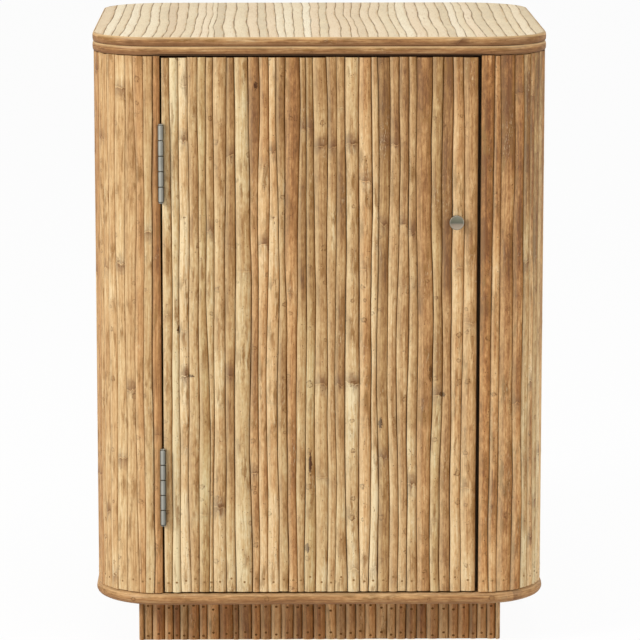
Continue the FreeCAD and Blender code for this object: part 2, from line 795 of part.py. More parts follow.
def make_catch():
    """Magnetic catch under the top board, and the strike plate on the door."""
    half = s.catch_length / 2
    magnet_half = s.magnet_length / 2
    pocket_base = catch_base + s.catch_wall
    pocket_top = wall_top - s.catch_wall
    magnet_base = pocket_base + s.pole_thick
    magnet_top = pocket_top - s.pole_thick
    rear = catch_front + s.magnet_depth
    across = (catch_x - magnet_half, catch_x + magnet_half)
    depth = (catch_front, catch_front + s.catch_depth)
    case = block((catch_x - half, catch_x + half), depth, (catch_base, wall_top))
    pocket = block(across, (catch_front, rear), (pocket_base, pocket_top))
    keep(cut(case, pocket, *holes(catch_screw, catch_screw_spots, UPWARD)), "catch_case")
    keep(block(across, (catch_front, rear), (magnet_base, magnet_top)), "catch_magnet")
    lower_pole = block(across, (pole_front, rear), (pocket_base, magnet_base))
    upper_pole = block(across, (pole_front, rear), (magnet_top, pocket_top))
    keep(group(lower_pole, upper_pole), "catch_pole_plates")
    screws("catch_screws", catch_screw, catch_screw_spots, UPWARD)
    half = s.strike_length / 2
    rise = s.strike_height / 2
    heights = (catch_middle - rise, catch_middle + rise)
    plate = block((catch_x - half, catch_x + half), (door_rear, strike_rear), heights)
    keep(cut(plate, *holes(leaf_screw, strike_screw_spots, FORWARD)), "strike_plate")
    screws("strike_screws", leaf_screw, strike_screw_spots, FORWARD)


# Hinges


def hinge_leaf(sheet_span, knuckles, middle, bore, drilled):
    """Leaf of a butt hinge: a flat sheet in the gap beside the door, with rolled knuckles."""
    pitch = s.hinge_length / KNUCKLES
    base = middle - s.hinge_length / 2
    front = barrel_y + s.knuckle_dia / 2 + s.leaf_relief
    pieces = [block(sheet_span, (front, barrel_y + s.leaf_depth), (base, base + s.hinge_length))]
    for number in knuckles:
        low = base + number * pitch + s.knuckle_gap / 2
        tall = pitch - s.knuckle_gap
        pieces.append(rod(s.knuckle_dia, tall, (barrel_x, barrel_y, low)))
        pieces.append(block(sheet_span, (barrel_y, front), (low, low + tall)))
    tunnel = rod(bore, s.hinge_length, (barrel_x, barrel_y, base))
    return cut(join(*pieces), tunnel, *drilled)


def make_hinge(name, middle):
    frame_sheet = (-corner_x, s.leaf_thick - corner_x)
    door_sheet = (-(door_x + s.leaf_thick), -door_x)
    door_bore = s.hinge_pin_dia + 2 * s.pin_running_gap
    frame_holes = holes(leaf_screw, frame_screw_spots[name], LEFTWARD)
    door_holes = holes(leaf_screw, door_screw_spots[name], RIGHTWARD)
    frame_leaf = hinge_leaf(frame_sheet, (0, 2, 4), middle, s.hinge_pin_dia, frame_holes)
    door_leaf = hinge_leaf(door_sheet, (1, 3), middle, door_bore, door_holes)
    keep(frame_leaf, f"{name}_hinge_frame_leaf")
    keep(door_leaf, f"{name}_hinge_door_leaf")
    base = middle - s.hinge_length / 2
    shank = rod(s.hinge_pin_dia, s.hinge_length, (barrel_x, barrel_y, base))
    head = (s.pin_head_dia, s.hinge_pin_dia, s.pin_head_height)
    upper_head = cone(*head, (barrel_x, barrel_y, base + s.hinge_length))
    lower_head = cone(*head, (barrel_x, barrel_y, base), DOWNWARD)
    keep(join(shank, upper_head, lower_head), f"{name}_hinge_pin")
    screws(f"{name}_hinge_frame_screws", leaf_screw, frame_screw_spots[name], LEFTWARD)
    screws(f"{name}_hinge_door_screws", leaf_screw, door_screw_spots[name], RIGHTWARD)


def check_and_write():
    doc.recompute()
    failed = [item.Label for item in doc.Objects if {"Invalid", "Error"} & set(item.State)]
    failed += [item.Label for item in subparts if item.Shape.isNull() or not item.Shape.isValid()]
    if failed:
        raise RuntimeError(f"failed objects: {failed}")
    os.makedirs("parts", exist_ok=True)
    for item in subparts:
        item.Shape.exportStep(f"parts/{item.Label}.step")
        print(item.Label, len(item.Shape.Solids), round(item.Shape.Volume))


make_boards()
make_walls()
make_corners()
make_stiles()
make_cleats()
make_shelf()
make_plinth()
clad_walls()
clad_plinth()
lay_top_canes()
make_top_trim("upper_top_trim", s.overall_height - s.top_trim_height / 2)
make_top_trim("lower_top_trim", wall_top + s.top_trim_height / 2)
make_base_trim()
make_door()
make_knob()
make_catch()
for hinge_name, hinge_middle in hinge_heights.items():
    make_hinge(hinge_name, hinge_middle)
check_and_write()
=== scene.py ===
import math
import random
from functools import partialmethod

import bmesh
import bpy
from bpy.props import FloatProperty, FloatVectorProperty, IntProperty, PointerProperty
from mathutils import Matrix, Vector, noise


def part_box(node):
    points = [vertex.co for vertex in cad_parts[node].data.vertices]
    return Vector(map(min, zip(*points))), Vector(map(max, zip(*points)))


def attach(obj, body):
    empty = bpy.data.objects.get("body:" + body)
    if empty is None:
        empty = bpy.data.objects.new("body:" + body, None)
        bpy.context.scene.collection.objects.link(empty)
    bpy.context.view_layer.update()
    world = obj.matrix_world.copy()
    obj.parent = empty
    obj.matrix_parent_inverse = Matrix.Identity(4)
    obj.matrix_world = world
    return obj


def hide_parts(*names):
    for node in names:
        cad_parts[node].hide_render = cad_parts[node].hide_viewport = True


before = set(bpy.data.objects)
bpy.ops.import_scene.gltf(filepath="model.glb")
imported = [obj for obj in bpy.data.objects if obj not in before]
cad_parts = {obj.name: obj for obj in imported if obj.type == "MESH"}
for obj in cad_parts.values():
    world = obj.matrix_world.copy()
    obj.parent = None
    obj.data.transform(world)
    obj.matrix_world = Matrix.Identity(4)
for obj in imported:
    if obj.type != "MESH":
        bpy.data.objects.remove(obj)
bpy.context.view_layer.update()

bl_info = {
    "name": "Rattan Storage Side Table",
    "version": (1, 0, 0),
    "blender": (4, 5, 0),
    "location": "3D View > Sidebar > Side Table",
    "description": "Dresses a storage side table with split canes, bent trims, hardware and finishes",
    "category": "Object",
}

MM = 0.001
CARCASS = "carcass"
DOOR = "door"


def paint(code):
    """Scene colour from a written colour such as C8A06A."""
    shares = [int(code[i:i + 2], 16) / 255 for i in (0, 2, 4)]
    return tuple(s / 12.92 if s <= 0.04045 else ((s + 0.055) / 1.055) ** 2.4 for s in shares)


def colour(name, code, description):
    return FloatVectorProperty(
        name=name, description=description, subtype="COLOR", size=3, min=0, max=1, default=paint(code)
    )


def number(name, value, description, **more):
    return FloatProperty(name=name, description=description, default=value, **more)


def length(name, millimetres, description):
    return number(name, millimetres * MM, description, unit="LENGTH", precision=5)


class TABLE_PG_canes(bpy.types.PropertyGroup):
    """Sizes of the split canes"""

    groove: length("Groove", 0.06, "Gap between neighbouring canes")
    wave: length("Wave", 4.6, "How far a groove wanders sideways")
    top_wave: length("Top wave", 6.5, "How far a groove of the sanded top wanders sideways")
    node_step: length("Node step", 170, "Usual distance between the nodes of a cane")
    swell: number("Swell", 0.05, "Share by which a node stands out", min=0, max=0.1)
    rings: IntProperty(name="Rings", description="Rings along a tall cane", default=46, min=24, max=90)
    nail_dia: length("Nail", 2.9, "Diameter of a nail head")
    nail_rise: length("Nail rise", 12.5, "Nails from the ends of the canes")


class TABLE_PG_hardware(bpy.types.PropertyGroup):
    """Sizes of the hinges and the knob"""

    leaf: length("Leaf", 1.15, "Sheet of a hinge leaf")
    knuckle_gap: length("Knuckle gap", 0.9, "Between the knuckles of a hinge")
    ease: length("Ease", 0.2, "Easing of knuckle and pin ends")
    pin_head: length("Pin head", 5.4, "Diameter of the heads of a hinge pin")


class TABLE_PG_colours(bpy.types.PropertyGroup):
    """Colours of the rattan, wood and metal"""

    bark: colour("Bark", "7A5537", "Darkest cane")
    brown: colour("Brown", "A67C50", "Brown cane")
    tan: colour("Tan", "C79F6E", "Middle cane")
    straw: colour("Straw", "DBBC8C", "Pale cane")
    # Cream also lays the painted highlight on the left side of a cane
    cream: colour("Cream", "EAD6AD", "Palest cane")
    warm: colour("Warm", "FFE8D2", "Wash over reddish canes")
    grey: colour("Grey", "E9E8DC", "Wash over greyish canes")
    # Groove is painted shade on the sides of a cane, down in the groove; the bent trims also take it for
    # their own dark streaks
    groove: colour("Groove", "4E270A", "Sides of a cane, down in the groove")
    scar: colour("Scar", "633C1E", "Line round a node")
    # Smear also lays the painted shade on the right side of a cane
    smear: colour("Smear", "90683A", "Stain at a node")
    sanded: colour("Sanded", "EBDABA", "Sanded top")
    veneer: colour("Veneer", "A97B4C", "Face of the plywood")
    steel: colour("Steel", "B4B2A6", "Satin steel of the hinges")
    knob: colour("Knob", "7B7967", "Satin metal of the knob")


class TABLE_PG_stage(bpy.types.PropertyGroup):
    """Light and camera"""

    lens: number("Lens", 207.38, "Focal length in millimetres")
    pitch: number("Pitch", math.radians(9.7505), "Camera down", subtype="ANGLE")
    yaw: number("Yaw", math.radians(0.8937), "Camera to the right", subtype="ANGLE")
    spot: FloatVectorProperty(
        name="Camera", description="Place of the camera", subtype="TRANSLATION",
        default=(-0.0561, -3.7662, 0.9479),
    )
    fill: number("Fill", 0.44, "Even light from all round")
    key: number("Key", 95, "Power of the soft lamp at the left", unit="POWER")
    side: number("Side", 32, "Power of the soft lamp at the right", unit="POWER")
    top: number("Top", 22, "Power of the soft lamp overhead", unit="POWER")


# Finishes


class Value:
    """A number that a node tree works out; sums and products of values add Math nodes."""

    def __init__(self, nodes, socket):
        self.nodes = nodes
        self.socket = socket

    def math(self, operation, *others, clamp=False):
        sockets = dict(enumerate((self, *others)))
        return self.nodes.node("Math", sockets, operation=operation, use_clamp=clamp)

    __add__ = __radd__ = partialmethod(math, "ADD")
    __sub__ = partialmethod(math, "SUBTRACT")
    __mul__ = __rmul__ = partialmethod(math, "MULTIPLY")
    __truediv__ = partialmethod(math, "DIVIDE")
    __pow__ = partialmethod(math, "POWER")
    __abs__ = partialmethod(math, "ABSOLUTE")
    least = partialmethod(math, "MINIMUM")
    held = partialmethod(math, "ADD", 0.0, clamp=True)

    def __rsub__(self, other):
        return self.nodes.node("Math", {0: other, 1: self}, operation="SUBTRACT")

    def step(self, low, high):
        """Rises smoothly from 0 to 1 as the value goes from low to high."""
        return self.nodes.node("MapRange", {0: self, 1: low, 2: high}, interpolation_type="SMOOTHSTEP")

    def near(self, reach):
        """1 where the value is 0, falling to 0 at the reach."""
        return (1 - self / reach).held()

    def twin(self, output):
        """Another output of the same node."""
        return Value(self.nodes, self.socket.node.outputs[output])


class Nodes:
    """Adds nodes to a node tree."""

    def __init__(self, tree):
        self.tree = tree

    def plug(self, socket, value):
        if isinstance(value, Value):
            self.tree.links.new(value.socket, socket)
        elif hasattr(value, "__len__") and len(value) == 3 and len(socket.default_value) == 4:
            socket.default_value = (*value, 1)
        else:
            socket.default_value = value

    def node(self, kind, sockets=None, output=0, **settings):
        made = self.tree.nodes.new(f"ShaderNode{kind}")
        for key, value in settings.items():
            setattr(made, key, value)
        for key, value in (sockets or {}).items():
            self.plug(made.inputs[key], value)
        return Value(self, made.outputs[output])


class Finish(Nodes):
    """A material with a Principled shader; colours are laid one over the other on its shade."""

    def __init__(self, name, shade=None):
        self.material = bpy.data.materials.new(name)
        self.material.use_nodes = True
        super().__init__(self.material.node_tree)
        self.shader = self.tree.nodes["Principled BSDF"]
        self.shade = self.pick(shade)

    def pick(self, colour):
        """A colour of the table by its name, a written colour, or a colour as it is."""
        if not isinstance(colour, str):
            return colour
        return getattr(bpy.context.scene.table_colours, colour, None) or paint(colour)

    def marks(self, *names):
        """Numbers that the mesh carries for the finish."""
        return [self.node("Attribute", output="Fac", attribute_name=name) for name in names]

    def place(self):
        return self.node("TexCoord", output="Object")

    def parts(self):
        place = self.node("SeparateXYZ", {0: self.place()})
        return [place, place.twin(1), place.twin(2)]

    def vector(self, x, y, z):
        return self.node("CombineXYZ", {0: x, 1: y, 2: z})

    def noise(self, spot, detail=2.0, roughness=0.5, scale=1.0):
        sockets = {"Vector": spot, "Scale": scale, "Detail": detail, "Roughness": roughness}
        return self.node("TexNoise", sockets, "Fac")

    def ramp(self, level, *stops):
        """Take the shade from a level, by colours at places between 0 and 1."""
        self.shade = self.node("ValToRGB", {0: level})
        elements = self.shade.socket.node.color_ramp.elements
        while len(elements) < len(stops):
            elements.new(1)
        for element, (place, colour) in zip(elements, stops):
            element.position = place
            element.color = (*self.pick(colour), 1)

    def over(self, share, colour, blend="MIX"):
        """Lay a share of a colour over the shade."""
        sockets = {0: share, 6: self.shade, 7: self.pick(colour)}
        self.shade = self.node("Mix", sockets, 2, data_type="RGBA", blend_type=blend, clamp_factor=True)

    def bump(self, height, strength, distance):
        return self.node("Bump", {"Height": height, "Strength": strength, "Distance": distance})

    def surface(self, **inputs):
        for name, value in {"base_color": self.shade, **inputs}.items():
            self.plug(self.shader.inputs[name.replace("_", " ").title().replace("Ior", "IOR")], value)
        return self.material


MARKS = ("side", "along", "across", "cane", "tone", "tint", "above", "below", "knot")
EYE_CELL = 15 * MM
BRUISE = "4E2E18"
# Dark colour of painted shade on the softwood in the gaps
GAP_SHADE_WOOD = "2E1508"
# Dark colour of painted shade at the rims of the boards
GAP_SHADE_RIM = "2C1204"


def rattan(
    name, depth=0.0, gloss=0.52, scars=1.0, groove=1.0, streaks=1.0, coat=0.35, under=0.0, detail=1.0,
    bruises=(),
):
    """Cane: its own tone, lengthwise streaks, stains and broken lines at its nodes, eyes, painted light and
    shade on its sides and down its grooves, and on bent trims painted light above and painted shade below.
    """
    f = Finish(name)
    side, along, across, cane, tone, tint, above, below, knot = f.marks(*MARKS)

    def grain(wide, tall, layers=2.0, roughness=0.5):
        return f.noise(f.vector(side / wide, along / tall, cane), layers, roughness)

    drift = grain(0.03, 0.12)
    streak = grain(0.0015, 0.055, 3.0, 0.65)
    fine = grain(0.0007, 0.03, 3.0, 0.6)
    smear = grain(0.0042, 0.022, 4.0, 0.6)
    gather = grain(0.02, 0.07)
    frayed = grain(0.0009, 0.005, 1.0)
    mottle = grain(0.0018, 0.006, 3.0, 0.6)
    cloud = grain(0.007, 0.03)
    ragged = grain(0.0028, 0.003)
    speck = grain(0.0011, 0.0018, 1.0)
    spot = f.vector(side / EYE_CELL + cane * 7.3, along / EYE_CELL, 0.0)
    eyes = f.node("TexVoronoi", {"Vector": spot, "Scale": 1.0}, voronoi_dimensions="2D")
    cell = f.node("SeparateXYZ", {0: eyes.twin("Color")})
    chosen = cell.step(0.82, 0.84)
    eye = eyes * (0.9 + cell.twin("Y") * 0.9) + (ragged - 0.5) * 0.35

    joint = above.least(below) + (ragged - 0.5) * 0.01
    pale = below.near(0.04) ** 2.0 * knot
    marks = (drift - 0.5) * 0.95 + (cloud - 0.5) * 0.5 + (mottle - 0.5) * 0.65
    # depth darkens every cane of the finish; on the plinth that is partly the canes' own darker tone and
    # partly painted shade under the overhang
    level = tone + marks * detail + pale * 0.22 * scars + (streak - 0.5) * streaks - depth
    f.ramp(level, (0.0, "bark"), (0.27, "brown"), (0.52, "tan"), (0.76, "straw"), (1.0, "cream"))
    # Reddish and greyish canes, and their streaks
    f.over((tint - 0.5).held() * 2.0, "warm", "MULTIPLY")
    f.over((0.5 - tint).held() * 2.0, "grey", "MULTIPLY")
    f.over(smear.step(0.46, 0.66) * gather.step(0.42, 0.6) * 0.95 * streaks, "smear")
    f.over(fine.step(0.5, 0.72) * 0.5, "smear")
    # Stains and broken lines at the nodes
    f.over(joint.near(0.013) * smear.step(0.34, 0.56) * knot * 0.8 * scars, "bark")
    f.over((above + (ragged - 0.5) * 0.014).near(0.014) * knot.step(0.5, 1.0) * 0.7 * scars, "bark")
    ring = joint.near(0.0022) * speck.step(0.32, 0.52) * knot
    f.over(ring * 0.55 * scars, "scar")
    f.over(frayed.step(0.6, 0.7) * gather.step(0.54, 0.68) * 0.4, "cream")
    # Eyes, dots and bruises
    f.over(eye.step(0.28, 0.1) * chosen * 0.3 * scars, "smear")
    f.over(abs(eye - 0.16).near(0.07) * speck.step(0.36, 0.54) * chosen * 0.85 * scars, "scar")
    dots = speck.step(0.66, 0.74) * smear.step(0.44, 0.56)
    f.over(dots * 0.8 * detail, "scar")
    wide, _, tall = f.parts()
    for x, z, reach, rise in bruises:
        spot = ((wide - x * MM) / (reach * MM)) ** 2.0 + ((tall - z * MM) / (rise * MM)) ** 2.0
        f.over((spot + (speck - 0.5) * 3.0).step(1.0, 0.6), BRUISE)
    # Painted light and shade on the sides: a painted highlight on the left side, painted shade on the right
    # side, and painted shade down into the grooves, stronger in some places than others
    edge_darkening = 0.2 + grain(0.03, 0.07).step(0.4, 0.6) * 0.8
    f.over((0.0 - across).step(0.0, 0.7) * (tone * 0.58).held() * groove, "cream")
    f.over(across.step(0.2, 0.85) * 0.4 * groove, "smear")
    f.over(across.step(0.8, 0.9) * edge_darkening * groove, "groove")
    f.over((0.0 - across).step(0.9, 0.98) * edge_darkening * 0.7 * groove, "groove")
    # Bent trims: dark weathered streaks of their own, then painted light on the upper half and painted shade
    # on the underside
    if under:
        weathered = grain(0.0013, 0.04, 3.0, 0.6).step(0.45, 0.56) * grain(0.01, 0.03).step(0.42, 0.56)
        f.over(weathered * (under - 0.25), "groove")
        f.over(across.step(0.05, 0.4) * under * 0.8, "straw")
        f.over(across.step(0.25, -0.35) * under * 1.1, "bark")
    relief = streak * 0.5 + fine * 0.3 - ring * 0.5 - dots * 0.3
    return f.surface(
        roughness=gloss + (fine - 0.5) * 0.25,
        specular_ior_level=0.0,
        coat_weight=abs(across).step(0.8, 0.3) * coat,
        coat_roughness=0.4,
        normal=f.bump(relief, 0.45, 0.0006),
    )


def sanded_rattan(name):
    """Top canes sanded to their pale core: soft pores, pale blotches and faint node lines, with painted shade
    on the right side of each cane.
    """
    f = Finish(name)
    side, along, across, cane, tone, tint, above, below, knot = f.marks(*MARKS)

    def grain(wide, tall, detail=2.0):
        return f.noise(f.vector(side / wide, along / tall, cane), detail, 0.55)

    drift = grain(0.02, 0.12)
    pores = grain(0.0008, 0.02, 3.0)
    blotch = grain(0.006, 0.03)
    ragged = grain(0.003, 0.004)
    level = tone + (drift - 0.5) * 0.7 + (blotch - 0.5) * 0.6
    f.ramp(level, (0.0, "DBCAAC"), (0.5, "sanded"), (1.0, "F6EACF"))
    f.over((tint - 0.5).held() * 0.9, "E9CDAE")
    f.over(pores.step(0.5, 0.75) * 0.4, "tan")
    # Painted shade on the right side of each cane, in blotches
    f.over(across.step(0.3, 1.0) * blotch.step(0.36, 0.6) * 0.5, "tan")
    scar = (above.least(below) + (ragged - 0.5) * 0.006).near(0.0016) * knot
    f.over(scar * 0.6, "smear")
    dots = grain(0.0016, 0.004, 1.0).step(0.7, 0.76) * blotch.step(0.45, 0.6)
    f.over(dots * 0.6, "scar")
    # Darker along both edges of each cane, stronger in some places than others
    edge_darkening = 0.4 + grain(0.05, 0.06).step(0.4, 0.6) * 0.6
    f.over(abs(across).step(0.8, 0.98) * edge_darkening * 0.7, "scar")
    return f.surface(
        roughness=0.6 + (pores - 0.5) * 0.2,
        specular_ior_level=0.0,
        normal=f.bump(pores * 0.6 - scar * 0.4, 0.25, 0.0004),
    )


def plywood(name, grain_axis, thickness, low, high, centre=None, rim=()):
    """Stained plywood: long veneer grain on the faces, plies on the edges, and a dark band past the rim that
    is painted shade for the gaps.
    """
    f = Finish(name, "veneer")
    parts = f.parts()
    stretch = [90.0, 90.0, 90.0]
    stretch[grain_axis] = 5.0
    figure = f.noise(f.vector(*[p * k for p, k in zip(parts, stretch)]), 4.0, 0.6)
    pores = f.noise(f.vector(*[p * k * 9 for p, k in zip(parts, stretch)]))
    through = parts[thickness]
    if centre:
        through = ((parts[0] - centre[0]) ** 2.0 + (parts[1] - centre[1]) ** 2.0) ** 0.5
    core = ((through - low) / (high - low) * 4.0).math("PINGPONG", 1.0).step(0.42, 0.58)
    f.over(figure.step(0.3, 0.7), "tan")
    f.over(pores.step(0.55, 0.75) * 0.5, "bark")
    f.over(core * 0.45, "bark")
    # Painted shade: a dark band past the rim, kept off the board's high face
    for axis, middle, reach in rim:
        edge = abs(parts[axis] - middle).step(reach, reach + 0.0005)
        f.over(edge * through.step(high - 0.0002, high - 0.0006) * 0.9, GAP_SHADE_RIM)
    return f.surface(
        specular_ior_level=0.15, roughness=0.62 + (figure - 0.5) * 0.2, normal=f.bump(pores, 0.15, 0.0004)
    )


def softwood(name, stain=0.0, upright=True):
    """Planed softwood with straight year lines along its height or its depth, bare or darkened as painted
    shade for the gaps beside the door.
    """
    f = Finish(name, "straw")
    wide, deep, long = f.parts()
    if not upright:
        deep, long = long, deep
    warp = f.noise(f.vector(wide * 14, deep * 14, long * 3))
    years = ((wide + deep) * 260.0 + warp * 9.0).math("PINGPONG", 1.0)
    fibre = f.noise(f.vector(wide * 900, deep * 900, long * 30))
    f.over(years.step(0.55, 0.95) * 0.6, "brown")
    f.over(fibre.step(0.5, 0.8) * 0.3, "brown")
    # Painted shade: darkened so that the gaps beside the door read dark
    f.over(stain, GAP_SHADE_WOOD)
    return f.surface(
        specular_ior_level=0.15, roughness=0.65 + (fibre - 0.5) * 0.2, normal=f.bump(fibre, 0.2, 0.0003)
    )


def metal(name, shade, roughness=0.6, turned=(), rim=None):
    """Satin metal with fine rubbed lines and a few duller patches; turned work has painted light and shade
    across it, and a painted highlight on its rim.
    """
    f = Finish(name, shade)
    spot = f.place()
    rub = f.noise(f.node("Mapping", {"Vector": spot, "Scale": (9.0, 9.0, 1.0)}), 3.0, 0.6, 260.0)
    dull = f.noise(spot, 2.0, 0.5, 70.0)
    if turned:
        # Painted light and shade across turned work, from its turn mark
        f.ramp(f.marks("turn")[0] * 0.5 + 0.5, *turned)
    f.over(dull.step(0.4, 0.7) * 0.3, (0.5, 0.5, 0.5), "MULTIPLY")
    # Painted highlight on the rim
    if rim:
        f.over(f.marks("rim")[0].step(0.82, 0.94), rim)
    return f.surface(
        metallic=1.0,
        roughness=roughness + (rub - 0.5) * 0.12 + (dull - 0.5) * 0.1,
        normal=f.bump(rub, 0.08, 0.0002),
    )


def moulding(name, shade, roughness):
    """Dark moulded plastic or pressed ferrite, with a fine grain."""
    f = Finish(name, shade)
    speckle = f.noise(f.place(), 3.0, 0.6, 900.0)
    f.over(speckle.step(0.4, 0.7) * 0.4, [c * 1.6 for c in f.shade])
    return f.surface(roughness=roughness + (speckle - 0.5) * 0.2, normal=f.bump(speckle, 0.2, 0.0002))


def finish(name):
    """The finish of that name, made when it is first asked for."""
    if name not in FINISHES:
        maker, settings = MAKERS[name]
        FINISHES[name] = maker(name, **settings)
    return FINISHES[name]


FINISHES = {}
# Bruises of the door in millimetres: place across it, height, half width and half height
BRUISES = (
    (-139, 325, 1.8, 4.5), (-128, 279, 4, 1.5), (-63, 566, 2, 4), (-13, 105, 2.6, 5), (-10, 191, 1.7, 11),
    (59, 231, 2, 7), (109, 281, 2, 9), (120, 260, 3, 3),
)
# Painted shading across a hinge barrel: dark at both edges, lit a little left of its middle
HINGE_PAINTED_SHADING = ((0.0, "56544D"), (0.22, "A2A097"), (0.38, "steel"), (0.64, "8F8D84"), (1.0, "3F3D37"))
# Painted reflection on the knob face: light below, a dark band above the middle
KNOB_PAINTED_REFLECTION = ((0.05, "B0A08C"), (0.36, "9E8F7D"), (0.5, "6C6C5E"), (0.68, "knob"), (0.95, "94907F"))
MAKERS = {
    "wall_rattan": (rattan, dict(detail=1.5)),
    "smooth_rattan": (rattan, dict(scars=0.8, detail=0.75)),
    "marked_rattan": (rattan, dict(detail=1.2, bruises=BRUISES)),
    # Plinth canes darker by depth: partly their own tone, partly painted shade under the overhang
    "plinth_rattan": (rattan, dict(depth=0.14, gloss=0.6, scars=0.5)),
    # under: painted light above and painted shade below on the bent trims
    "trim_rattan": (rattan, dict(gloss=0.42, groove=0.0, streaks=1.6, coat=0.3, under=0.8)),
    "base_rattan": (rattan, dict(gloss=0.6, groove=0.0, streaks=1.4, under=0.5)),
    "sanded_rattan": (sanded_rattan, {}),
    "nail_steel": (metal, dict(shade="9A774C")),
    "rusted_nail": (metal, dict(shade="6E4C2C")),
    "hinge_steel": (metal, dict(shade="steel", roughness=0.38, turned=HINGE_PAINTED_SHADING)),
    "bright_zinc": (metal, dict(shade="C4C2BA", roughness=0.36)),
    "knob_metal": (metal, dict(shade="knob", roughness=0.34, turned=KNOB_PAINTED_REFLECTION, rim="938D7F")),
    "planed_softwood": (softwood, dict(upright=False)),
    "stained_softwood": (softwood, dict(stain=0.8)),
    "toned_softwood": (softwood, dict(stain=0.5)),
    "moulded_catch": (moulding, dict(shade="4A3220", roughness=0.5)),
    "pressed_ferrite": (moulding, dict(shade="2A2826", roughness=0.6)),
}


# Walls of the table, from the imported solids


class Wall:
    """A stretch of wall: distance along it, distance out of it and height give a place."""

    def __init__(self, board, outward):
        low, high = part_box(board)
        self.outward = Vector(outward)
        self.across = Vector((-self.outward.y, self.outward.x, 0))
        reach = (high - low) / 2
        self.middle = (low + high) / 2 + self.outward * abs(self.outward.dot(reach))
        self.middle.z = 0
        self.run = 2 * abs(self.across.dot(reach))

    def facing(self, side):
        return self.outward

    def spot(self, side, out, height):
        return self.middle + self.across * side + self.outward * out + Vector((0, 0, height))


class Bend:
    """A quarter round of wall, measured the same way."""

    def __init__(self, board):
        low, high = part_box(board)
        right, back = low.x > 0, low.y > 0
        self.centre = Vector((low.x if right else high.x, low.y if back else high.y, 0))
        self.radius = high.x - low.x
        self.middle = math.atan2(1 if back else -1, 1 if right else -1)
        self.run = self.radius * math.pi / 2

    def facing(self, side):
        angle = self.middle + side / self.radius
        return Vector((math.cos(angle), math.sin(angle), 0))

    def spot(self, side, out, height):
        return self.centre + self.facing(side) * (self.radius + out) + Vector((0, 0, height))


FRONT, RIGHT, BACK, LEFT = (0, -1, 0), (1, 0, 0), (0, 1, 0), (-1, 0, 0)


# Canes


def shaded(bm, limit=0.75):
    """Shade the faces smooth, and keep the edges that turn more than the limit hard."""
    bmesh.ops.recalc_face_normals(bm, faces=bm.faces[:])
    for face in bm.faces:
        face.smooth = True
    for edge in bm.edges:
        edge.smooth = edge.calc_face_angle(0) < limit


def as_mesh(bm, name):
    mesh = bpy.data.meshes.new(name)
    bm.to_mesh(mesh)
    bm.free()
    return mesh


def round_blank(facets, rings, *cuts):
    """Cane one unit tall, ringed along its length: a round cut down its middle, once to each side named."""
    bm = bmesh.new()
    bmesh.ops.create_circle(bm, cap_ends=True, radius=1, segments=facets)
    for normal in cuts:
        geometry = bm.verts[:] + bm.edges[:] + bm.faces[:]
        bmesh.ops.bisect_plane(bm, geom=geometry, plane_co=(0, 0, 0), plane_no=normal, clear_inner=True)
    made = bmesh.ops.extrude_face_region(bm, geom=bm.faces[:])["geom"]
    bmesh.ops.translate(bm, vec=(0, 0, 1), verts=[v for v in made if isinstance(v, bmesh.types.BMVert)])
    upright = [e for e in bm.edges if abs(e.verts[0].co.z - e.verts[1].co.z) > 0.5]
    bmesh.ops.subdivide_edges(bm, edges=upright, cuts=rings - 2)
    shaded(bm)
    return as_mesh(bm, "cane_blank")


def placed(name, data):
    made = bpy.data.objects.new(name, data)
    bpy.context.scene.collection.objects.link(made)
    return made


def show(name, bm, skin, body, slot, *nodes):
    """Put a finished piece into the scene on its body, in place of its solids."""
    piece = placed(name, as_mesh(bm, name))
    piece.data.materials.append(finish(skin))
    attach(piece, body)
    if nodes:
        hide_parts(*nodes)
    return piece


class Stock:
    """Canes gathered into one piece, each with what its finish needs to know."""

    def __init__(self):
        self.bm = bmesh.new()
        self.marks = {name: [] for name in MARKS}

    def add(self, blank):
        start = len(self.bm.verts)
        self.bm.from_mesh(blank)
        self.bm.verts.ensure_lookup_table()
        return self.bm.verts[start:]

    def mark(self, **values):
        for name, value in values.items():
            self.marks[name].append(value)

    def piece(self, name, skin, slot, node, body=CARCASS):
        piece = show(name, self.bm, skin, body, slot, node)
        for mark, values in self.marks.items():
            piece.data.attributes.new(mark, "FLOAT", "POINT").data.foreach_set("value", values)


class Growth:
    """Nodes along a cane, each with the strength of its marks."""

    CLEAR_END = 12 * MM
    CLEAR_NODE = 40 * MM
    FAR = 100 * MM
    STRONG = 0.4

    def __init__(self, rnd, low, high, step):
        self.low, self.high = low, high
        self.nodes = []
        z = low + rnd.uniform(0.05, 1.0) * step
        while z < high - self.CLEAR_END:
            if z > low + self.CLEAR_END:
                strength = rnd.uniform(0.75, 1) if rnd.random() < self.STRONG else rnd.uniform(0.1, 0.45)
                self.nodes.append((z, strength))
            z += step * rnd.uniform(0.6, 1.5)

    def grow(self, z):
        """A strong node at a chosen height, in place of the nodes close to it."""
        self.nodes = [(z, 1.0)] + [node for node in self.nodes if abs(node[0] - z) > self.CLEAR_NODE]

    def reach(self, z):
        """Distances to the node under a height and to the node over it, and the strength of the nearer."""
        under = max((n for n in self.nodes if n[0] <= z), default=(self.low - self.FAR, 0))
        over = min((n for n in self.nodes if n[0] > z), default=(self.high + self.FAR, 0))
        return z - under[0], over[0] - z, (under if z - under[0] < over[0] - z else over)[1]

    def bulge(self, z, length):
        return sum(math.exp(-(((z - n) / length) ** 2)) for n, _ in self.nodes)

    def rings(self, count):
        """Heights of the rings of a cane, close together at its nodes."""
        near = [z + d * MM for z, _ in self.nodes[:5] for d in (-3.5, -0.5, 0.5, 3.5)]
        even = count - len(near)
        return sorted([self.low + (self.high - self.low) * i / (even - 1) for i in range(even)] + near)


# Slow bows, long leans and quick bends of a groove: share, change from groove to groove, length and place
WANDERS = ((0.75, 0.55, 0.19, 1.7), (0.65, 1.3, 0.6, 3.1), (0.22, 2.1, 0.06, 0.9))


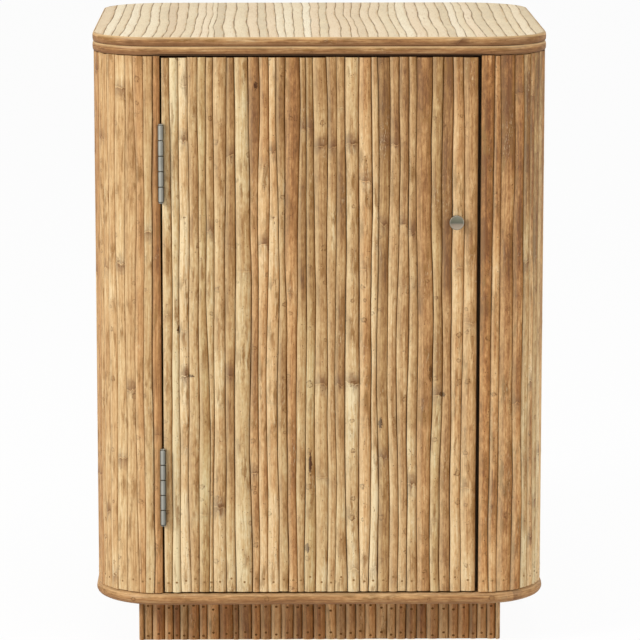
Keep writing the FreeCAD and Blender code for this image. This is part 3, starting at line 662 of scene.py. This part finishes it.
def groove_shift(index, count, z, wave, seed, likeness=1.0):
    """How far a groove wanders from its straight line; the outer edges of a row stay straight."""
    if index in (0, count):
        return 0.0
    return wave * sum(
        share * noise.noise(Vector((index / likeness * change + seed, z / length, seed * place)))
        for share, change, length, place in WANDERS
    )


class Row:
    """A row of split canes on a wall: how many, how tall, how round and of what tones."""

    NARROWEST = 0.66
    WIDEST = 1.45
    # slope changes the tone across the row, and lift makes canes lighter towards the bottom and darker
    # towards the top: painted light and shade where the lamps light a row unevenly
    LOOK = dict(
        pitch=10 * MM, height=4 * MM, ragged=0.8 * MM, overhang=(0, 0), dome=0.6, shoulder=0.42, edge=0.95,
        wear=0.0, tone=0.5, contrast=0.13, slope=0.0, lift=0.0, tint=0.5, fade=0.0, vary=0.24, spread=0.2,
        faint=1.0, chosen={}, narrow={}, rounded={}, knots=(),
    )

    def __init__(self, wall, node, seed, **look):
        vars(self).update(self.LOOK, wall=wall, node=node, seed=seed, **look)
        self.low, self.high = (corner.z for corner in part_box(node))
        self.count = round(wall.run / self.pitch)
        self.rnd = random.Random(seed)
        self.edges = self.spaced()
        self.edges[0] -= self.overhang[0]
        self.edges[-1] += self.overhang[1]

    def spaced(self):
        """Grooves of the row, from canes of uneven width."""
        drawn = [self.rnd.gauss(1, self.spread) for _ in range(self.count)]
        widths = [min(self.WIDEST, max(self.NARROWEST, width)) for width in drawn]
        widths = [self.narrow.get(number, width) for number, width in enumerate(widths)]
        scale = self.wall.run / sum(widths)
        return [sum(widths[:i]) * scale - self.wall.run / 2 for i in range(self.count + 1)]

    def sides(self, number, z, wave, seed, groove, likeness=1.0):
        """Edges of a cane at a height, half a groove in from the lines that wander beside it."""
        left, right = (
            self.edges[n] + groove_shift(n, self.count, z, wave, seed, likeness) for n in (number, number + 1)
        )
        return left + groove / 2, right - groove / 2

    def clad(self, blank, rings, wave, step, name, skin, slot, body=CARCASS):
        """Lay the canes side by side as one piece in place of the row's solids, and give them back."""
        stock = Stock()
        canes = [Cane(self, number, wave, step) for number in range(self.count)]
        for cane in canes:
            cane.lay(stock, blank, rings)
        stock.piece(name, skin, slot, self.node, body)
        return canes


class Cane:
    """One split cane of a row."""

    STRAY = 4 * MM
    STRAY_ACROSS = 2.2
    STRAY_LENGTH = 20 * MM
    SEED_STEP = 0.37
    NODE_LENGTH = 3 * MM
    PROUD = 0.1 * MM
    TALLEST = 0.56

    def __init__(self, row, number, wave, step):
        rnd = row.rnd
        self.row, self.number, self.wave = row, number, wave
        self.groove = bpy.context.scene.table_canes.groove
        self.swell = bpy.context.scene.table_canes.swell
        place = (number + 0.5) / row.count - 0.5
        # The tone takes painted light and shade across the row from slope
        self.tone = row.chosen.get(number, row.tone + row.slope * place + rnd.gauss(0, row.contrast))
        self.tint = min(1, max(0, row.tint + row.fade * place + rnd.gauss(0, row.vary)))
        # edge sets how strongly the painted highlight and shade of the sides show on this cane, and grows
        # towards the right of the row to make the painted groove shade stronger there
        self.edge = min(1, row.edge + row.wear * place + rnd.uniform(-0.18, 0.05))
        self.shoulder = row.rounded.get(number, min(0.9, row.shoulder - 0.12 + 0.5 * rnd.random() ** 3))
        self.flip = rnd.random() < 0.5
        self.cane = rnd.uniform(0, 60)
        # lift: painted light towards the bottom and painted shade towards the top, growing towards the right
        # of the row
        self.lift = row.lift * (1 + place)
        low, high = row.low + rnd.uniform(0, 0.7) * MM, row.high - rnd.uniform(0, row.ragged)
        self.growth = Growth(rnd, low, high, step)
        self.growth.nodes = [(z, strength * row.faint) for z, strength in self.growth.nodes]
        for across, z in row.knots:
            if row.edges[number] <= across * MM < row.edges[number + 1]:
                self.growth.grow(z * MM)
                self.flip = False
        width = row.edges[number + 1] - row.edges[number]
        self.reach = min(row.height, width * self.TALLEST) * rnd.uniform(0.86, 1.0)

    def sides(self, z):
        return self.row.sides(self.number, z, self.wave, self.row.seed * self.SEED_STEP, self.groove)

    def crown(self, z):
        bulge = 1 + self.swell * self.growth.bulge(z, self.NODE_LENGTH)
        return min(self.row.height + self.PROUD, self.reach * bulge)

    def stray(self, across, level):
        """How far a ring round the cane strays from level, so that its nodes don't run straight across."""
        spot = across * self.STRAY_ACROSS, self.cane, level / self.STRAY_LENGTH
        return self.STRAY * noise.noise(Vector(spot))

    def nail_spot(self, z):
        left, right = self.sides(z)
        return (left + right) / 2, self.crown(z)

    def lay(self, stock, blank, rings):
        row = self.row
        heights = self.growth.rings(rings)
        for v in stock.add(blank):
            ring = round(v.co.z * (rings - 1))
            level = heights[ring]
            across = math.copysign(abs(v.co.x) ** 0.8, v.co.x)
            z = level + (self.stray(across, level) if 0 < ring < rings - 1 else 0)
            left, right = self.sides(z)
            half = (right - left) / 2
            dome = max(0, 1 - across * across) ** row.dome
            out = self.crown(level) * (self.shoulder + (1 - self.shoulder) * dome if v.co.y > 1e-4 else 0)
            above, below, knot = self.growth.reach(level)
            if self.flip:
                above, below = below, above
            # The tone rises and falls along the cane with lift: painted light below, painted shade above
            stock.mark(
                side=across * half, along=z, across=across * self.edge, cane=self.cane, tint=self.tint,
                tone=self.tone + self.lift * (0.5 - (z - row.low) / (row.high - row.low)),
                above=above, below=below, knot=knot,
            )
            v.co = row.wall.spot((left + right) / 2 + across * half, out, z)


NAIL_STRAY = 3 * MM
NAIL_TALL = 0.5 * MM
NAIL_SUNK = 0.17 * MM
NAIL_FACETS = 8
NAIL_FACE = 0.35


def drive_nails(name, plan, body, iron="nail_steel", wide=1.0):
    """Small nail heads in the crowns of canes, from pairs of a cane and a height."""
    dia = bpy.context.scene.table_canes.nail_dia * wide
    bm = bmesh.new()
    rnd = random.Random(len(plan))
    for cane, z in plan:
        z += rnd.uniform(-1, 1) * NAIL_STRAY
        side, out = cane.nail_spot(z)
        wall = cane.row.wall
        turn = wall.facing(side).to_track_quat("Z", "Y").to_matrix().to_4x4()
        place = Matrix.Translation(wall.spot(side, out - NAIL_SUNK, z)) @ turn
        bmesh.ops.create_cone(
            bm, cap_ends=True, segments=NAIL_FACETS, radius1=dia * 0.5, radius2=dia * NAIL_FACE,
            depth=NAIL_TALL, matrix=place,
        )
    show(name, bm, iron, body, "zinc_steel")


class TableStep:
    """What every making step shares."""

    bl_options = {"REGISTER", "UNDO"}

    def execute(self, context):
        self.make(context.scene)
        return {"FINISHED"}


class TABLE_OT_wall_canes(TableStep, bpy.types.Operator):
    """Clad the sides, the back and the four corners with split canes"""

    bl_idname = "table.wall_canes"
    bl_label = "Wall canes"

    FACETS = 16
    CORNERS = {
        # The darker chosen canes beside the door gaps, the last of front_left and the first of front_right,
        # are painted shade by the gaps
        "front_left": dict(
            seed=14, tone=0.52, contrast=0.05, slope=0.1, lift=0.15, vary=0.1, height=3.4 * MM, shoulder=0.88,
            edge=0.58, chosen={9: 0.34}, narrow={9: 0.62}, rounded={9: 0.1}, overhang=(0, 0.7 * MM),
        ),
        "front_right": dict(
            seed=22, tone=0.46, contrast=0.08, slope=0.24, lift=0.48, tint=0.75, fade=-0.5, edge=0.98,
            shoulder=0.66, chosen={0: 0.25},
        ),
        "back_right": dict(seed=33),
        "back_left": dict(seed=41),
    }
    SIDES = {"left_side": (LEFT, 57), "right_side": (RIGHT, 63), "back": (BACK, 72)}

    def make(self, scene):
        canes = scene.table_canes
        blank = round_blank(self.FACETS, canes.rings, BACK)
        rows = {}
        for name, look in self.CORNERS.items():
            rows[f"{name}_corner"] = Row(Bend(f"{name}_corner"), f"{name}_corner_canes", **look)
        for name, (outward, seed) in self.SIDES.items():
            rows[name] = Row(Wall(f"{name}_panel", outward), f"{name}_canes", seed)
        nails = []
        for name, row in rows.items():
            skin = "smooth_rattan" if name == "front_left_corner" else "wall_rattan"
            piece = f"{name}_rattan", skin, "split_cane"
            laid = row.clad(blank, canes.rings, canes.wave, canes.node_step, *piece)
            nails += [(cane, row.low + canes.nail_rise) for cane in laid]
        drive_nails("wall_nails", nails, CARCASS)


class TABLE_OT_door_canes(TableStep, bpy.types.Operator):
    """Clad the door with split canes"""

    bl_idname = "table.door_canes"
    bl_label = "Door canes"

    # Places of strong nodes in millimetres: across the door, and height
    KNOTS = (
        (-131, 512), (-128, 279), (-107, 423), (-104, 146), (-87, 497), (-85, 279), (-62, 181), (-54, 410),
        (-45, 500), (-16, 523), (-8, 524), (4, 506), (5, 270), (15, 505), (17, 269), (25, 508), (29, 271),
        (39, 471), (59, 428), (65, 196), (66, 510), (74, 508), (85, 430), (88, 169), (93, 422), (118, 259),
    )
    # slope and lift paint light and shade across the door and up it
    LOOK = dict(
        seed=5, tone=0.505, contrast=0.12, slope=-0.2, tint=0.4, lift=0.26, wear=0.1, edge=0.97,
        shoulder=0.47, overhang=(0.7 * MM, 0), knots=KNOTS, faint=0.55,
        chosen={13: 0.34, 14: 0.48, 26: 0.3, 27: 0.5, 28: 0.24, 29: 0.62, 30: 0.48},
    )

    def make(self, scene):
        canes = scene.table_canes
        row = Row(Wall("door_board", FRONT), "door_canes", **self.LOOK)
        blank = round_blank(TABLE_OT_wall_canes.FACETS, canes.rings, BACK)
        piece = "door_rattan", "marked_rattan", "split_cane", DOOR
        laid = row.clad(blank, canes.rings, canes.wave, canes.node_step, *piece)
        drive_nails("door_nails", [(cane, row.low + canes.nail_rise) for cane in laid], DOOR)


class TABLE_OT_plinth_canes(TableStep, bpy.types.Operator):
    """Clad the plinth with short split canes and round its corners"""

    bl_idname = "table.plinth_canes"
    bl_label = "Plinth canes"

    RINGS = 8
    FACES = {"front": FRONT, "right": RIGHT, "back": BACK, "left": LEFT}
    SKIN = "plinth_rattan", "plinth_cane"
    FACETS = 12
    CORNER_FACETS = 24
    CALM = 0.4
    NODE_STEP = 1.0
    LOW_NAIL = 6 * MM
    HIGH_NAIL = 13 * MM
    WIDE_NAIL = 1.1

    def make(self, scene):
        canes = scene.table_canes
        blank = round_blank(self.FACETS, self.RINGS, BACK)
        nails = []
        for seed, (face, outward) in enumerate(self.FACES.items(), start=80):
            wall = Wall(f"plinth_{face}_board", outward)
            low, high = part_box(f"plinth_{face}_canes")
            wall.run = abs(wall.across.dot(high - low))
            row = Row(wall, f"plinth_{face}_canes", seed, tone=0.53, tint=0.85)
            piece = f"plinth_{face}_rattan", *self.SKIN
            for cane in row.clad(blank, self.RINGS, canes.wave * self.CALM, self.NODE_STEP, *piece):
                nails += [(cane, row.low + self.LOW_NAIL), (cane, row.high - self.HIGH_NAIL)]
        drive_nails("plinth_nails", nails, CARCASS, "rusted_nail", self.WIDE_NAIL)
        self.round_corners()

    def round_corners(self):
        low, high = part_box("plinth_corner_canes")
        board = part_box("plinth_front_board")[1]
        radius = high.x - board.x
        depth = high.y - radius
        blank = round_blank(self.CORNER_FACETS, self.RINGS, BACK, RIGHT)
        stock = Stock()
        for number, (x, y) in enumerate(((1, 1), (-1, 1), (-1, -1), (1, -1))):
            turn = Matrix.Rotation(number * math.pi / 2, 3, "Z")
            for v in stock.add(blank):
                across = math.atan2(v.co.y, v.co.x) / (math.pi / 4) - 1
                height = low.z + (high.z - low.z) * v.co.z
                stock.mark(
                    side=across * 4 * MM, along=height, across=across * 0.9, cane=number * 11.0,
                    tone=0.44 + number * 0.03, tint=0.6, above=Growth.FAR, below=Growth.FAR, knot=0.0,
                )
                v.co = turn @ Vector((v.co.x, v.co.y, 0)) * radius + Vector((x * board.x, y * depth, height))
        stock.piece("plinth_corner_rattan", *self.SKIN, "plinth_corner_canes")


class TABLE_OT_top_canes(TableStep, bpy.types.Operator):
    """Lay the sanded canes of the top, cut to the rounded plan"""

    bl_idname = "table.top_canes"
    bl_label = "Top canes"

    RINGS = 26
    EASE = 0.045
    PITCH = 9.4 * MM
    # How the grooves wander: two places in the noise, how alike neighbours are, and how wide
    START = 0.3
    SEED = 6.3
    LIKENESS = 5
    WIDE = 1.2

    def blank(self):
        """Flat bar of one unit each way, ringed along Y, with its two upper edges eased."""
        bm = bmesh.new()
        bmesh.ops.create_cube(bm, size=1)
        upper = [e for e in bm.edges if min(v.co.z for v in e.verts) > 0]
        upper = [e for e in upper if e.verts[0].co.x == e.verts[1].co.x]
        bmesh.ops.bevel(
            bm, geom=upper, offset=self.EASE, segments=2, profile=0.5, affect="EDGES", material=-1
        )
        along = [e for e in bm.edges if abs(e.verts[0].co.y - e.verts[1].co.y) > 0.5]
        bmesh.ops.subdivide_edges(bm, edges=along, cuts=self.RINGS - 2)
        shaded(bm)
        return as_mesh(bm, "flat_blank")

    def make(self, scene):
        canes = scene.table_canes
        wall = Wall("top_board", FRONT)
        low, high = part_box("top_canes")
        wall.run = high.x - low.x
        row = Row(wall, "top_canes", 91, pitch=self.PITCH, contrast=0.22, spread=0.1)
        bend = Bend("back_right_corner").centre
        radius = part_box("top_board")[1].x - bend.x
        blank = self.blank()
        stock = Stock()

        def reach(x):
            past = min(max(0, abs(x) - bend.x), radius)
            return min(high.y, bend.y + math.sqrt(radius * radius - past * past))

        for number in range(row.count):
            tone, tint, cane = row.rnd.gauss(row.tone, row.contrast), row.rnd.random(), row.rnd.uniform(0, 60)
            growth = Growth(row.rnd, low.y, high.y, canes.node_step)
            for v in stock.add(blank):
                y = v.co.y * (high.y - low.y)
                left, right = row.sides(
                    number, y + self.START, canes.top_wave, self.SEED, canes.groove * self.WIDE, self.LIKENESS
                )
                x = max(low.x, min(high.x, left + (right - left) * (v.co.x + 0.5)))
                above, below, knot = growth.reach(y)
                stock.mark(
                    side=v.co.x * (right - left), along=y, across=v.co.x * 2, cane=cane, tone=tone, tint=tint,
                    above=above, below=below, knot=knot,
                )
                v.co = (x, v.co.y * 2 * reach(x), low.z + (v.co.z + 0.5) * (high.z - low.z))
        stock.piece("sanded_top", "sanded_rattan", "sanded_cane", "top_canes")


class Loop:
    """Line that a bent trim follows from its joint round to its joint: straights joined by quarter rounds."""

    STEP = 9 * MM
    BENDS = 14
    JOINT = 0.2 * MM

    def __init__(self, node, start, inset):
        low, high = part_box(node)
        x, y, _ = Bend("back_right_corner").centre
        self.half = (high.z - low.z) / 2
        self.height = (high.z + low.z) / 2
        self.radius = high.x - inset - x
        # Of each ring of the cane: distance along the loop, place and outward direction
        self.rings = [(0.0, Vector((start, -y - self.radius, self.height)), Vector(FRONT))]
        self.straight(x - start)
        runs = (2 * y, 2 * x, 2 * y, x + start - self.JOINT)
        for centre, run in zip(((x, -y), (x, y), (-x, y), (-x, -y)), runs):
            self.quarter(Vector((*centre, self.height)))
            self.straight(run)
        self.length = self.rings[-1][0] + self.JOINT

    def straight(self, run):
        reached, spot, outward = self.rings[-1]
        ahead = Vector((-outward.y, outward.x, 0))
        steps = round(run / self.STEP)
        for gone in (run * i / steps for i in range(1, steps + 1)):
            self.rings.append((reached + gone, spot + ahead * gone, outward))

    def quarter(self, centre):
        reached, spot, outward = self.rings[-1]
        for angle in (math.pi / 2 * i / self.BENDS for i in range(1, self.BENDS + 1)):
            turn = Matrix.Rotation(angle, 3, "Z")
            turned = centre + turn @ (spot - centre)
            self.rings.append((reached + self.radius * angle, turned, turn @ outward))


class TABLE_OT_trims(TableStep, bpy.types.Operator):
    """Bend the round canes of the top and the base round the table"""

    bl_idname = "table.trims"
    bl_label = "Bent trims"

    FACETS = 20
    NODE_STEP = 240 * MM
    NODE_LENGTH = 5 * MM
    UPPER_JOINT = 135 * MM
    LOWER_JOINT = 30 * MM
    BASE_JOINT = -50 * MM
    SLACK = 0.97
    UNEVEN = 0.02
    UNEVEN_LENGTH = 50 * MM
    SWELL = 0.02
    BULGE = 0.62
    OVER_DOOR = 175 * MM
    RUN_OUT = 20 * MM

    def make(self, scene):
        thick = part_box("upper_top_trim")[1].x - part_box("top_board")[1].x
        radius = (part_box("base_trim")[1].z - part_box("base_trim")[0].z) / 2
        upper = Loop("upper_top_trim", self.UPPER_JOINT, thick)
        lower = Loop("lower_top_trim", self.LOWER_JOINT, thick)
        base = Loop("base_trim", self.BASE_JOINT, radius)
        self.bend("upper_trim_cane", upper, "trim_rattan", 101, 0.4, thick, slant=1.1)
        self.bend("lower_trim_cane", lower, "trim_rattan", 107, 0.36, thick, at_back=True, shaved=0.36)
        self.bend("base_trim_cane", base, "base_rattan", 113, 0.37, at_back=True)

    def bend(self, name, loop, skin, seed, tone, split=0.0, slant=0.5, at_back=False, shaved=0.0):
        """One cane bent into a loop, round or split, shaved below over the door, with a slanted joint."""
        growth = Growth(random.Random(seed), 0, loop.length, self.NODE_STEP)
        growth.nodes = [(0, 1), *growth.nodes, (loop.length, 1)]
        facing = -1 if at_back else 1
        last = len(loop.rings) - 1
        stock = Stock()
        for v in stock.add(round_blank(self.FACETS, len(loop.rings))):
            ring = round(v.co.z * last)
            reached, middle, outward = loop.rings[ring]
            around = math.atan2(v.co.x, v.co.y)
            above, below, knot = growth.reach(reached)
            uneven = self.UNEVEN * noise.noise(Vector((reached / self.UNEVEN_LENGTH, seed, 0)))
            swell = self.SWELL * growth.bulge(reached, self.NODE_LENGTH)
            grow = min(1.0, self.SLACK + uneven + swell)
            out, up = math.cos(around) * loop.half, math.sin(around) * loop.half
            if split:
                out = self.BULGE * split * max(0, math.cos(around)) ** 0.8
                up = loop.half * math.copysign(abs(math.sin(around)) ** 0.9, around)
                over_door = -facing * middle.y > 0 and (self.OVER_DOOR - abs(middle.x)) / self.RUN_OUT
                up = max(up, (shaved * min(1, max(0, over_door)) - 1) * loop.half)
            stock.mark(
                side=around * loop.half, along=reached, across=around / math.pi, cane=seed * 1.0, tone=tone,
                tint=0.68, above=above, below=below, knot=knot,
            )
            v.co = middle + (outward * out + Vector((0, 0, up))) * grow
            if ring in (0, last):
                v.co.x += (v.co.z - loop.height) * slant
        if at_back:
            turn = Matrix.Rotation(math.pi, 3, "Z")
            bmesh.ops.rotate(stock.bm, cent=(0, 0, 0), matrix=turn, verts=stock.bm.verts[:])
        shaded(stock.bm)
        stock.piece(name, skin, "trim_cane", name.replace("_trim_cane", "_top_trim" if split else "_trim"))


class TABLE_OT_knob(TableStep, bpy.types.Operator):
    """Turn the round metal knob"""

    bl_idname = "table.knob"
    bl_label = "Knob"

    STEPS = 48
    # Shares of the radius and of the height, from the middle of the back to the middle of the face
    PROFILE = (
        (0, 0), (0.62, 0), (0.62, 0.5), (0.98, 0.54), (1, 0.6), (1, 0.9), (0.98, 0.97), (0.94, 1),
        (0.9, 0.99), (0.85, 0.97), (0.6, 0.94), (0.3, 0.92), (0, 0.91),
    )

    def make(self, scene):
        low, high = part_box("knob")
        rim = (high.x - low.x) / 2
        bm = bmesh.new()
        mark, turn = (bm.verts.layers.float.new(name) for name in ("rim", "turn"))
        verts = [bm.verts.new((r * rim, 0, h * (high.y - low.y))) for r, h in self.PROFILE]
        edges = [bm.edges.new(pair) for pair in zip(verts, verts[1:])]
        bmesh.ops.spin(
            bm, geom=verts + edges, cent=(0, 0, 0), axis=(0, 0, 1), angle=2 * math.pi, steps=self.STEPS,
            use_merge=True,
        )
        bmesh.ops.remove_doubles(bm, verts=bm.verts[:], dist=1e-6)
        # rim: share of the radius, for the painted highlight on the rim; turn: height on the face, for the
        # painted reflection
        for v in bm.verts:
            v[mark] = v.co.xy.length / rim
            v[turn] = v.co.y / rim
        place = Matrix.Translation(((low.x + high.x) / 2, high.y, (low.z + high.z) / 2))
        bmesh.ops.transform(bm, matrix=place @ Matrix.Rotation(math.pi / 2, 4, "X"), verts=bm.verts[:])
        shaded(bm)
        show("turned_knob", bm, "knob_metal", DOOR, "satin_steel", "knob")


class TABLE_OT_hinges(TableStep, bpy.types.Operator):
    """Roll the leaves of the two hinges, with knuckles that show their joints"""

    bl_idname = "table.hinges"
    bl_label = "Hinges"

    KNUCKLES = 5
    FACETS = 32
    THIN_ROD = 0.2
    SHEET_TURN = 0.2
    SHEET_GAP = 0.5 * MM
    LAP = 0.1 * MM

    def make(self, scene):
        size = scene.table_hardware
        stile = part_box("hinge_stile")[1].x
        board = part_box("door_board")[0].x
        for hinge in ("upper_hinge", "lower_hinge"):
            self.leaf(f"{hinge}_frame_leaf", hinge, (0, 2, 4), (stile, stile + size.leaf), CARCASS, size)
            self.leaf(f"{hinge}_door_leaf", hinge, (1, 3), (board - size.leaf, board), DOOR, size)
            self.pin(f"{hinge}_pin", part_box(f"{hinge}_frame_leaf"), size)

    def rod(self, bm, axis, radius, low, high, ease):
        """An upright round bar with eased ends."""
        place = Matrix.Translation((axis.x, axis.y, (low + high) / 2))
        made = bmesh.ops.create_cone(
            bm, cap_ends=True, segments=self.FACETS, radius1=radius, radius2=radius, depth=high - low,
            matrix=place,
        )["verts"]
        rims = {e for v in made for e in v.link_edges if abs(e.verts[0].co.z - e.verts[1].co.z) < 1e-6}
        bmesh.ops.bevel(
            bm, geom=list(rims), offset=ease, segments=1, profile=0.5, affect="EDGES", material=-1
        )

    def pin(self, node, leaf, size):
        low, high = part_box(node)
        axis = (low + high) / 2
        base, top = (corner.z for corner in leaf)
        bm = bmesh.new()
        turn = bm.verts.layers.float.new("turn")
        self.rod(bm, axis, size.pin_head / 2, low.z, base - size.ease, size.ease / 2)
        self.rod(bm, axis, size.pin_head / 2, top + size.ease, high.z, size.ease / 2)
        heads = set(bm.verts)
        self.rod(bm, axis, size.pin_head * self.THIN_ROD, base - size.ease, top + size.ease, size.ease)
        # turn 0 on the pin heads and 1 on the thin rod, which takes painted shade in the gaps between the
        # knuckles
        for v in bm.verts:
            v[turn] = 0 if v in heads else 1
        shaded(bm)
        show(f"{node}_rod", bm, "hinge_steel", CARCASS, "satin_steel", node)

    def leaf(self, node, hinge, knuckles, sheet, body, size):
        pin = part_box(f"{hinge}_pin")
        low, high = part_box(node)
        base, top = (corner.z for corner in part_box(f"{hinge}_frame_leaf"))
        axis = (pin[0] + pin[1]) / 2
        radius = axis.y - low.y
        sheet_front = axis.y + radius + self.SHEET_GAP
        pitch = (top - base) / self.KNUCKLES
        tall = pitch - size.knuckle_gap
        bm = bmesh.new()
        turn = bm.verts.layers.float.new("turn")
        self.block(bm, sheet, (sheet_front, high.y), (base, top))
        for number in knuckles:
            middle = base + (number + 0.5) * pitch
            span = middle - tall / 2, middle + tall / 2
            self.rod(bm, axis, radius, *span, size.ease)
            self.block(bm, sheet, (axis.y, sheet_front + self.LAP), span)
        # turn across each knuckle for its painted shading; the sheets take a share that gives them a little
        # painted shade
        for v in bm.verts:
            v[turn] = (v.co.x - axis.x) / radius if v.co.y < axis.y + radius else self.SHEET_TURN
        shaded(bm)
        show(node.replace("leaf", "plate"), bm, "hinge_steel", body, "satin_steel", node)

    def block(self, bm, *spans):
        size = Matrix.Diagonal([high - low for low, high in spans]).to_4x4()
        place = Matrix.Translation([(high + low) / 2 for low, high in spans])
        bmesh.ops.create_cube(bm, size=1, matrix=place @ size)


class TABLE_OT_boards(TableStep, bpy.types.Operator):
    """Finish the plywood boards, the stiles, cleats and blocks, and the hardware"""

    bl_idname = "table.boards"
    bl_label = "Boards and hardware"

    # Width of the dark rim of a board in millimetres, painted shade for the gaps round the door and under the
    # top
    BORDERS = {"door_board": 5, "top_board": 15}
    # Words in the names of solids, and their finish; the first that fits is taken
    SKINS = (
        # The stiles and the door stop seen through the gaps beside the door are darkened as painted shade,
        # the hinge stile less
        (("hinge_stile",), "toned_softwood"),
        (("catch_stile", "door_stop"), "stained_softwood"),
        (("cleats", "blocks"), "planed_softwood"),
        (("catch_case",), "moulded_catch"),
        (("catch_magnet",), "pressed_ferrite"),
        (("hinge",), "hinge_steel"),
        (("screw", "catch_pole_plates", "strike_plate", "shelf_pins"), "bright_zinc"),
        (("knob",), "hinge_steel"),
        (("canes", "trim"), "wall_rattan"),
    )

    def make(self, scene):
        for name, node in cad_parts.items():
            node.data.materials.clear()
            node.data.materials.append(self.finish_for(name))

    def finish_for(self, name):
        for words, skin in self.SKINS:
            if any(word in name for word in words):
                return finish(skin)
        low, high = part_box(name)
        size = high - low
        thickness = min(range(3), key=lambda axis: size[axis])
        if name.endswith("_corner"):
            bend = Bend(name)
            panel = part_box("left_side_panel")
            inside = bend.radius - (panel[1].x - panel[0].x)
            return plywood(f"{name}_plywood", 2, 0, inside, bend.radius, bend.centre)
        flat = [axis for axis in range(3) if axis != thickness]
        grain = max(flat, key=lambda axis: size[axis])
        border = self.BORDERS.get(name, 0) * MM
        rim = [(axis, (low[axis] + high[axis]) / 2, size[axis] / 2 - border) for axis in flat if border]
        return plywood(f"{name}_plywood", grain, thickness, low[thickness], high[thickness], rim=rim)


class TABLE_OT_stage(TableStep, bpy.types.Operator):
    """Set the pale floor, the soft light and the camera"""

    bl_idname = "table.stage"
    bl_label = "Stage"

    # Place and size of each lamp
    LAMPS = {
        "key": ((-2.9, -2.1, 2.0), 0.95),
        "side": ((3.0, -1.2, 1.3), 2.0),
        "top": ((0.2, -0.6, 3.2), 1.6),
    }
    AIM = (0, -0.1, 0.34)
    FLOOR_SIZE = 40
    FLOOR_GLOW = 0.95

    def make(self, scene):
        stage = scene.table_stage
        scene.view_settings.view_transform = "Standard"
        self.floor()
        scene.world = bpy.data.worlds.new("studio")
        scene.world.use_nodes = True
        sky = Nodes(scene.world.node_tree)
        background = sky.tree.nodes["Background"]
        sky.plug(background.inputs["Color"], (1, 1, 1))
        sky.plug(background.inputs["Strength"], self.seen(sky) * (1 - stage.fill) + stage.fill)
        for name, (spot, size) in self.LAMPS.items():
            self.lamp(f"{name}_lamp", spot, size, getattr(stage, name))
        camera = placed("camera", bpy.data.cameras.new("camera"))
        camera.data.lens = stage.lens
        camera.location = stage.spot
        camera.rotation_euler = (math.pi / 2 - stage.pitch, 0, -stage.yaw)
        scene.camera = camera

    def seen(self, nodes):
        """1 where the camera or a mirror looks, 0 for the light on the table."""
        camera = nodes.node("LightPath", output="Is Camera Ray")
        mirrored = camera.twin("Is Glossy Ray").math("MAXIMUM", camera.twin("Is Transmission Ray"))
        return camera.math("MAXIMUM", mirrored)

    def floor(self):
        bm = bmesh.new()
        bmesh.ops.create_grid(bm, x_segments=1, y_segments=1, size=self.FLOOR_SIZE)
        floor = placed("floor", as_mesh(bm, "floor"))
        f = Finish("pale_floor", "F4F3F1")
        f.surface(roughness=0.8, specular_ior_level=0.0)
        glow = f.node("Emission", {"Color": (1, 1, 1), "Strength": 1.0})
        lit = Value(f, f.shader.outputs[0])
        both = f.node("MixShader", {0: self.seen(f) * self.FLOOR_GLOW, 1: lit, 2: glow})
        f.plug(f.tree.nodes["Material Output"].inputs["Surface"], both)
        floor.data.materials.append(f.material)

    def lamp(self, name, spot, size, power):
        light = bpy.data.lights.new(name, "AREA")
        light.shape = "DISK"
        light.size = size
        light.energy = power
        lamp = placed(name, light)
        lamp.location = spot
        lamp.rotation_euler = (Vector(self.AIM) - Vector(spot)).to_track_quat("-Z", "Y").to_euler()


GROUPS = {
    "table_canes": TABLE_PG_canes,
    "table_hardware": TABLE_PG_hardware,
    "table_colours": TABLE_PG_colours,
    "table_stage": TABLE_PG_stage,
}
STEPS = (
    TABLE_OT_wall_canes,
    TABLE_OT_door_canes,
    TABLE_OT_plinth_canes,
    TABLE_OT_top_canes,
    TABLE_OT_trims,
    TABLE_OT_knob,
    TABLE_OT_hinges,
    TABLE_OT_boards,
    TABLE_OT_stage,
)


class TABLE_PT_sidebar(bpy.types.Panel):
    """The making steps of the table, in order"""

    bl_label = "Side Table"
    bl_idname = "TABLE_PT_sidebar"
    bl_space_type = "VIEW_3D"
    bl_region_type = "UI"
    bl_category = "Side Table"

    def draw(self, context):
        for step in STEPS:
            self.layout.operator(step.bl_idname)


CLASSES = (*GROUPS.values(), *STEPS, TABLE_PT_sidebar)


def register():
    for cls in CLASSES:
        bpy.utils.register_class(cls)
    for name, group in GROUPS.items():
        setattr(bpy.types.Scene, name, PointerProperty(type=group))


def unregister():
    for name in GROUPS:
        delattr(bpy.types.Scene, name)
    for cls in reversed(CLASSES):
        bpy.utils.unregister_class(cls)


def main():
    register()
    bpy.ops.table.wall_canes()
    bpy.ops.table.door_canes()
    bpy.ops.table.plinth_canes()
    bpy.ops.table.top_canes()
    bpy.ops.table.trims()
    bpy.ops.table.knob()
    bpy.ops.table.hinges()
    bpy.ops.table.boards()
    bpy.ops.table.stage()


if __name__ == "__main__":
    main()
